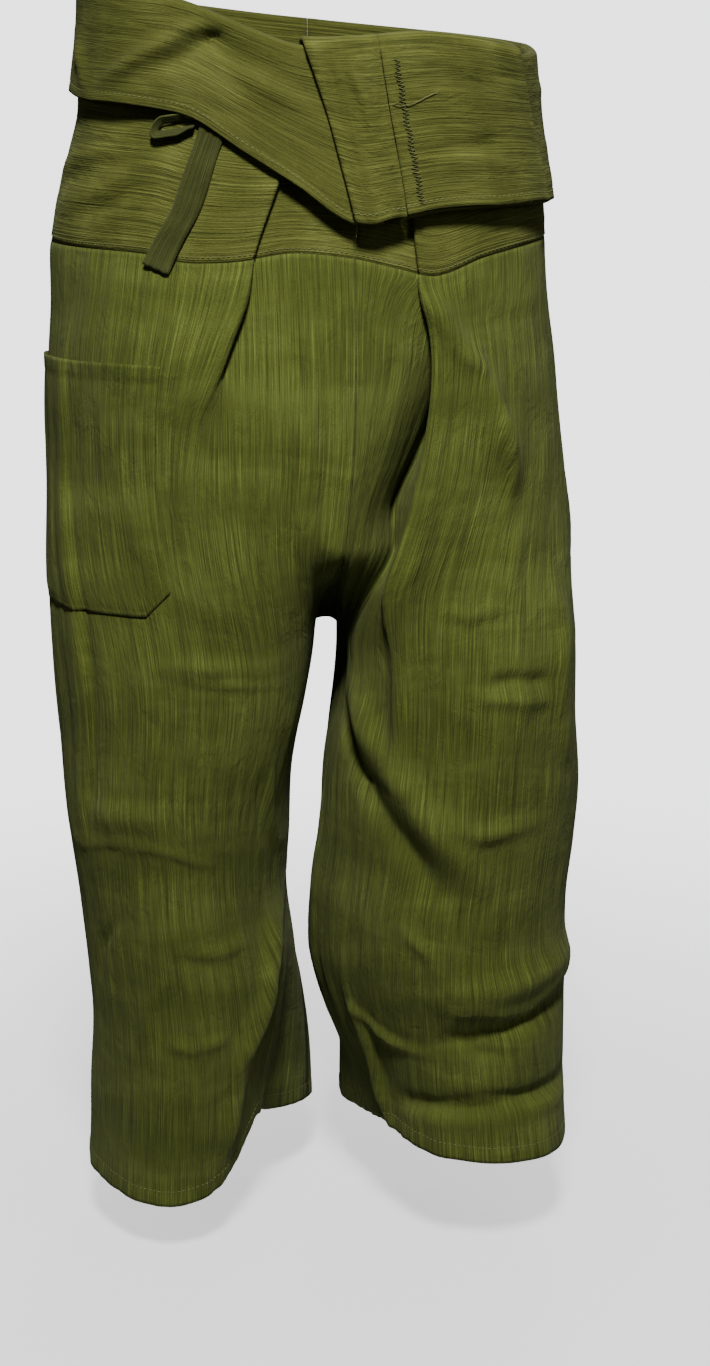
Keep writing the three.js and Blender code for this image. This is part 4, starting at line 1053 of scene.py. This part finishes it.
class PantsSizes(bpy.types.PropertyGroup):
    """Sizes of the cloth that a user may change"""
    cloth: FloatProperty(name="Cloth", description="Thickness of the cloth", default=0.0011,
                         unit="LENGTH", subtype="DISTANCE")
    crinkle_depth: FloatProperty(name="Crinkle", description="Depth of the soft crinkles", default=0.0018,
                                 unit="LENGTH", subtype="DISTANCE")
    stitch_length: FloatProperty(name="Stitch", description="Length of one stitch", default=0.003,
                                 unit="LENGTH", subtype="DISTANCE")
    thread_radius: FloatProperty(name="Thread", description="Radius of the sewing thread", default=0.00035,
                                 unit="LENGTH", subtype="DISTANCE")


class PantsColours(bpy.types.PropertyGroup):
    """Colours of the cloth, the thread and the floor"""
    leg: FloatVectorProperty(name="Legs", description="Colour of the legs and pocket", subtype="COLOR",
                             default=(0.052, 0.063, 0.0095), min=0, max=1)
    band: FloatVectorProperty(name="Waistband", description="Colour of the waistband", subtype="COLOR",
                              default=(0.058, 0.063, 0.0114), min=0, max=1)
    tie: FloatVectorProperty(name="Tie", description="Colour of the tie", subtype="COLOR",
                             default=(0.03, 0.034, 0.0068), min=0, max=1)
    thread: FloatVectorProperty(name="Thread", description="Colour of the sewing thread", subtype="COLOR",
                                default=(0.085, 0.095, 0.025), min=0, max=1)
    floor: FloatVectorProperty(name="Floor", description="Colour of the floor", subtype="COLOR",
                               default=(0.72, 0.72, 0.72), min=0, max=1)


def leg_material(colours):
    """Cotton of the legs, gusset and pocket, with its yarns running down."""
    return shared("leg_cotton", slub_cotton, tuple(colours.leg), True, 1.0)


def band_material(colours):
    """Cotton of the waistband, with its yarns running round."""
    return shared("band_cotton", slub_cotton, tuple(colours.band), False, 0.9)


def tie_material(colours):
    """Cotton of the tie, with its yarns running along."""
    return shared("tie_cotton", slub_cotton, tuple(colours.tie), False, 0.8)


def thread_material(colours):
    """Sewing thread of all seams."""
    return shared("sewing_thread", plain_thread, tuple(colours.thread))


def put(obj, node=None):
    """Let a piece ride on the root body, and let cloth stand for its node, which is hidden."""
    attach(obj, "root")
    if node:
        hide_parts(node)


class PANTS_OT_legs(bpy.types.Operator):
    """Make both legs with their pleats, folds and crinkle"""
    bl_idname = "pants.legs"
    bl_label = "Legs"

    def execute(self, context):
        sizes = context.scene.pants_sizes
        material = leg_material(context.scene.pants_colours)
        for side in ("right", "left"):
            grid, normals = leg_surface(side, sizes)
            flat = together(COLUMNS[side] * CUT_WIDTH, LEG_ROWS[:, None])
            turned = 0.7 * ease(LEG_HEM + 1, LEG_HEM - 1, LEG_ROWS - HEM_LEVEL)[:, None]
            leg = cloth_wall(f"leg_{side}_cotton", grid, normals, flat, sizes.cloth * 1000, material, turned)
            put(leg, f"leg_{side}")
        return {"FINISHED"}


class PANTS_OT_waistband(bpy.types.Operator):
    """Make both halves of the waistband, folded down over the tie"""
    bl_idname = "pants.waistband"
    bl_label = "Waistband"

    def execute(self, context):
        sizes = context.scene.pants_sizes
        material = band_material(context.scene.pants_colours)
        for side in ("right", "left"):
            grid, normals = band_surface(side, sizes)
            flat = together(COLUMNS[side] * CUT_WIDTH, BAND_ROWS[:, None] * BAND_LENGTH)
            band = cloth_wall(f"waistband_{side}_cotton", grid, normals, flat, sizes.cloth * 1000, material)
            put(band, f"waistband_{side}")
        return {"FINISHED"}


class PANTS_OT_gusset(bpy.types.Operator):
    """Make the crotch gusset between the legs"""
    bl_idname = "pants.gusset"
    bl_label = "Crotch gusset"

    def execute(self, context):
        sizes = context.scene.pants_sizes
        sides = {side: leg_surface(side, sizes) for side in ("right", "left")}
        levels = np.linspace(GUSSET_LEVEL, CORNER_LEVEL, 22)

        def edge(side, column):
            """Points, directions away from the leg and normals down one edge of a leg."""
            grid, normals = sides[side]
            s = np.full(len(levels), COLUMNS[side][column])
            beside = np.full(len(levels), 0.02 if column == 0 else 0.96)
            point = on_leg(side, grid, s, levels)
            inner = on_leg(side, grid, beside, levels)
            normal = on_leg(side, normals, s, levels)
            out = unit(point - inner)
            off = unit(np.cross(normal, np.gradient(point, axis=0)))
            off *= np.sign(np.sum(off * out, axis=-1, keepdims=True))
            lean = (np.linspace(0, 1, len(levels)) ** 2)[:, None]
            aim = unit(mix(out, np.array([0.0, 0.0, 1.0]), lean))
            return point + off * GUSSET_GAP, aim, normal

        def strip(front, back):
            """The front edge down and the back edge up again, joined half way at the corner."""
            return [np.concatenate([a[:-1], (a[-1:] + b[-1:]) / 2, b[-2::-1]]) for a, b in zip(front, back)]

        right = strip(edge("right", 0), edge("right", -1))
        left = strip(edge("left", 0), edge("left", -1))
        t = np.linspace(0, 1, 25)[None, :, None]
        a, b = right[0][:, None], left[0][:, None]
        reach = np.linalg.norm(b - a, axis=-1, keepdims=True) * GUSSET_BULGE
        grid = cubic(t, a, right[1][:, None] * reach, b, -left[1][:, None] * reach)
        normals = grid_normals(grid, -1)
        down = 4.0 * np.arange(len(grid))[:, None]
        across = t[..., 0]
        wave = 0.8 * ripple(down, across * 60, 9, 18, 91) * np.sin(math.pi * across)
        grid = grid + normals * wave[..., None]
        normals = grid_normals(grid, -1)
        normals[:, 0] = right[2]
        normals[:, -1] = left[2]
        gusset = cloth_wall("crotch_gusset_cotton", grid, normals, together(down, across * 90),
                            sizes.cloth * 1000, leg_material(context.scene.pants_colours))
        put(gusset, "crotch_gusset")
        return {"FINISHED"}


class PANTS_OT_pocket(bpy.types.Operator):
    """Make the patch pocket on the right leg, with its turned top hem and the groove along its edge seam"""
    bl_idname = "pants.pocket"
    bl_label = "Patch pocket"

    def execute(self, context):
        grid, normals = leg_surface("right", context.scene.pants_sizes)
        across = np.linspace(0, 1, 60)
        down = np.linspace(0, 1, 74)[:, None]
        beside = np.minimum(across, 1 - across)
        bottom = POCKET_BOTTOM + POCKET_CORNER * np.clip(1 - beside / POCKET_CORNER_SHARE, 0, 1)
        level = mix(POCKET_TOP, bottom, down)
        s = mix(POCKET_FRONT_S, POCKET_BACK_S, across) + 0 * down
        point = on_leg("right", grid, s, level)
        normal = unit(on_leg("right", normals, s, level))
        from_side = beside * (POCKET_BACK_S - POCKET_FRONT_S) * CUT_WIDTH
        from_edge = np.minimum(from_side, level - bottom)
        from_top = POCKET_TOP - level
        gaping = 0.9 * ease(POCKET_HEM + 2, 0, from_top) * ease(0, 20, from_side)
        hem = 0.35 * ease(POCKET_HEM + 1, POCKET_HEM - 1, from_top) - 0.4 * bell(from_top - POCKET_HEM, 1.2)
        lift = 1.35 + ease(0, 12, from_edge) + gaping - 0.35 * bell(from_edge - 2.6, 1.1) + hem
        u = s * CUT_WIDTH
        lift = lift + 0.5 * ripple(u, level, 24, 60, 17) * ease(0, 14, from_edge)
        # The flat map starts beyond the leg's, so that the pocket's yarns are its own
        pocket = cloth_wall("patch_pocket_cotton", point + normal * lift[..., None], normal,
                            together(u + 700, level), 1.0, leg_material(context.scene.pants_colours))
        put(pocket, "patch_pocket")
        return {"FINISHED"}


class PANTS_OT_tie(bpy.types.Operator):
    """Make the cotton tie: the band round the waist, its loop and its hanging end"""
    bl_idname = "pants.tie"
    bl_label = "Waist tie"

    def execute(self, context):
        material = tie_material(context.scene.pants_colours)
        turned = TIE_START + (360 - TIE_OPEN) * np.linspace(0, 1, 300)
        at = np.where(turned > 180, turned - 360, turned)
        height = along(EDGES, "at", "tie", at)
        half = np.linspace(1, -1, 9)[:, None]
        z = height + half * TIE_WIDTH / 2
        rib = 0.25 * np.cos(half * math.pi * 3) + 0.3 * ripple(turned * 3, half * 10, 14, 9, 3)
        band = oval_point(at + 0 * half, z, along(TIE_PATH, "at", "out", at) + rib)
        flat = together(turned * MM_PER_DEGREE, half * TIE_WIDTH / 2)
        tie = cloth_wall("waist_tie_cotton", band, grid_normals(band, -1), flat, TIE_THICKNESS, material)
        put(tie, "waist_tie")

        t = np.linspace(0, 1, 60)
        knot_z = np.interp(t, np.linspace(0, 1, len(TIE_TAIL["z"])), TIE_TAIL["z"])
        knot_at = along(TIE_TAIL, "z", "at", knot_z)
        out = along(TIE_TAIL, "z", "out", knot_z)
        half = np.linspace(-0.5, 0.5, 15)[None, :]
        z = knot_z[:, None] - half * TAIL_SLANT
        wide = TIE_WIDTH * (1 + 0.04 * np.sin(t * 14))[:, None]
        rib = 0.45 * np.cos(half * 2 * math.pi * 3) + 0.25 * ripple(half * 20, z, 4, 18, 8)
        tail = oval_point(knot_at[:, None] + half * wide / MM_PER_DEGREE, z, out[:, None] + rib)
        flat = together(knot_z[:, None], half * TIE_WIDTH)
        end = cloth_wall("tie_tail_cotton", tail, grid_normals(tail, -1), flat, TIE_THICKNESS, material)
        put(end, "tie_tail")

        # The loop: a ribbon that leans outwards, along two strands and the half circle that joins them
        angle = np.radians(np.linspace(90, 270, 17))
        strand = np.linspace(0, LOOP_STRAND - 8, 12)
        path_x = np.r_[-strand, LOOP_RADIUS * np.cos(angle) - LOOP_STRAND, -strand[::-1]]
        path_z = np.r_[0 * strand + LOOP_RADIUS, LOOP_RADIUS * np.sin(angle), 0 * strand - LOOP_RADIUS]
        away_x = np.r_[0 * strand, np.cos(angle), 0 * strand]
        away_z = np.r_[0 * strand + 1, np.sin(angle), 0 * strand - 1]
        half = np.linspace(0.5, -0.5, 9)[:, None]
        lean = half * LOOP_WIDTH * LOOP_LEAN
        neck = mix(LOOP_NECK, 1, ease(0, LOOP_NECK_LENGTH, -path_x))
        x = path_x * (1 - LOOP_SKEW * away_z) + lean * away_x
        z = LOOP_MIDDLE + (path_z + lean * away_z) * neck + LOOP_SLANT * x
        loop = oval_point(LOOP_START + x / MM_PER_DEGREE, z, LOOP_OUT + lean)
        length = np.r_[0, np.cumsum(np.hypot(np.diff(path_x), np.diff(path_z)))]
        flat = together(length, half * LOOP_WIDTH)
        bow = cloth_wall("tie_loop_cotton", loop, grid_normals(loop, 1), flat, LOOP_THICKNESS, material)
        put(bow, "tie_loop")
        return {"FINISHED"}


class PANTS_OT_stitching(bpy.types.Operator):
    """Make the stitching of the leg hems, the waistband seam, the flap hems and the folded front seam"""
    bl_idname = "pants.stitching"
    bl_label = "Stitching"

    def execute(self, context):
        sizes = context.scene.pants_sizes
        material = thread_material(context.scene.pants_colours)
        length = sizes.stitch_length * 1000
        radius = sizes.thread_radius * 1000
        lift = sizes.cloth * 500 + radius * 0.5
        for side in ("right", "left"):
            columns = np.linspace(0, len(COLUMNS[side]) - 1, 2400)
            grid, normals = leg_surface(side, sizes)
            row = np.full(columns.shape, LEG_HEM / (LEG_ROWS[0] - LEG_ROWS[1]))
            hem = stitch_paths(grid[::-1], normals[::-1], row, columns, length, 1.2, lift)
            put(tube(f"leg_hem_stitches_{side}", hem, radius, material))

            grid, normals = band_surface(side, sizes)
            row = np.full(columns.shape, YOKE_STITCH_ROW)
            seam = stitch_paths(grid, normals, row, columns, length, 1.0, lift)
            put(tube(f"yoke_stitches_{side}", seam, radius, material))
            # Beyond the top fold the normals turn towards the body, so the outer side is the other one
            flap = grid[FLAP_ROW:]
            outer = -normals[FLAP_ROW:]
            last = len(flap) - 1
            high = np.abs(flap[0, :, 2] - flap[-1, :, 2])
            row = last * (1 - FLAP_HEM / np.interp(columns, np.arange(len(high)), high))
            edge = stitch_paths(flap, outer, row, columns, length, 1.4, lift)
            put(tube(f"flap_hem_stitches_{side}", edge, radius * 1.2, material))

        # On the left flap: overlock loops from side to side over the raw edge of the seam, and a loose end
        def along_flap(row, from_seam, height):
            """Points over the flap's outer side, by row and distance from the seam."""
            column = column_of("left", from_seam / CUT_WIDTH)
            return at_index(flap, row, column) + at_index(outer, row, column) * height

        down = np.arange(0, 1, 1 / OVERLOCK_TURNS)
        sway = np.abs((np.arange(len(down)) % 4) / 2 - 1)
        from_seam = ALLOWANCE - 2 + OVERLOCK_WIDTH * sway + 0.5 * np.sin(down * 40)
        zigzag = along_flap(1.5 + (last - 3) * down, from_seam, lift + 0.5)
        put(tube("seam_zigzag", zigzag, radius * 1.3, material))
        loose = along_flap(last * LOOSE_THREAD["share"], LOOSE_THREAD["from_seam"], 1.6)
        put(tube("loose_thread", loose, radius * 0.9, material))
        return {"FINISHED"}


def area_light(name, place, aim, size, power, spread):
    """Square area light at a place, turned to its aim."""
    light = bpy.data.lights.new(name, "AREA")
    light.spread = math.radians(spread)
    light.size = size
    light.energy = power
    lamp = bpy.data.objects.new(name, light)
    bpy.context.scene.collection.objects.link(lamp)
    lamp.location = place
    away = np.array(place) - np.array(aim)
    lamp.rotation_euler = (math.acos(away[2] / np.linalg.norm(away)), 0,
                           math.atan2(away[1], away[0]) + math.pi / 2)


def pale_air():
    """World whose light is faint and whose sight for the camera is bright and pale."""
    world = bpy.data.worlds.new("studio_air")
    world.use_nodes = True
    tree = world.node_tree
    faint = tree.nodes["Background"]
    settle(faint, Color=(1, 1, 1, 1), Strength=AIR_STRENGTH)
    bright = node_of(tree, "Background", Strength=SEEN_AIR_STRENGTH)
    seen = node_of(tree, "LightPath")
    either = node_of(tree, "MixShader", [
        (seen.outputs["Is Camera Ray"], "Fac"), (faint.outputs[0], 1), (bright.outputs[0], 2)])
    tree.links.new(either.outputs[0], tree.nodes["World Output"].inputs["Surface"])
    return world


class PANTS_OT_stage(bpy.types.Operator):
    """Make the pale floor, the soft lights and the camera"""
    bl_idname = "pants.stage"
    bl_label = "Stage"

    def execute(self, context):
        scene = context.scene
        reach = np.r_[0.001, np.linspace(100, FLOOR_RADIUS, 24)][:, None]
        turn = np.radians(np.linspace(0, 360, 97))[:-1]
        top = together(reach * np.cos(turn), reach * np.sin(turn), float(FLOOR_LEVEL))
        index = np.arange(reach.size * turn.size).reshape(top.shape[:2])
        beside = np.roll(index, -1, 1)
        faces = np.stack([index[:-1], index[1:], beside[1:], beside[:-1]], -1).reshape(-1, 4)
        top = top.reshape(-1, 3)
        material = shared("pale_floor", pale_ground, tuple(scene.pants_colours.floor))
        new_mesh("studio_floor", top, faces, top[:, :2], material)

        for name, values in LIGHTS.items():
            area_light(name, *values)
        scene.world = pale_air()

        camera = bpy.data.objects.new("camera", bpy.data.cameras.new("camera"))
        camera.data.lens = LENS
        camera.data.sensor_width = SENSOR
        camera.location = CAMERA_PLACE
        camera.rotation_euler = (math.radians(90 - CAMERA_DOWN), 0, 0)
        scene.collection.objects.link(camera)
        scene.camera = camera
        return {"FINISHED"}


class PANTS_PT_panel(bpy.types.Panel):
    """Lists the pieces of the pants"""
    bl_idname = "PANTS_PT_panel"
    bl_label = "Fisherman Pants"
    bl_space_type = "VIEW_3D"
    bl_region_type = "UI"
    bl_category = "Pants"

    def draw(self, context):
        for group in (context.scene.pants_sizes, context.scene.pants_colours):
            for name in group.__annotations__:
                self.layout.prop(group, name)
        for operator in OPERATORS:
            self.layout.operator(operator.bl_idname)


OPERATORS = (PANTS_OT_legs, PANTS_OT_waistband, PANTS_OT_gusset, PANTS_OT_pocket, PANTS_OT_tie,
             PANTS_OT_stitching, PANTS_OT_stage)
CLASSES = (PantsSizes, PantsColours, *OPERATORS, PANTS_PT_panel)


def register():
    for cls in CLASSES:
        bpy.utils.register_class(cls)
    bpy.types.Scene.pants_sizes = PointerProperty(type=PantsSizes)
    bpy.types.Scene.pants_colours = PointerProperty(type=PantsColours)


def unregister():
    del bpy.types.Scene.pants_colours
    del bpy.types.Scene.pants_sizes
    for cls in reversed(CLASSES):
        bpy.utils.unregister_class(cls)


def main():
    """Make all pieces and the stage."""
    register()
    bpy.ops.pants.legs()
    bpy.ops.pants.waistband()
    bpy.ops.pants.gusset()
    bpy.ops.pants.pocket()
    bpy.ops.pants.tie()
    bpy.ops.pants.stitching()
    bpy.ops.pants.stage()


if __name__ == "__main__":
    main()
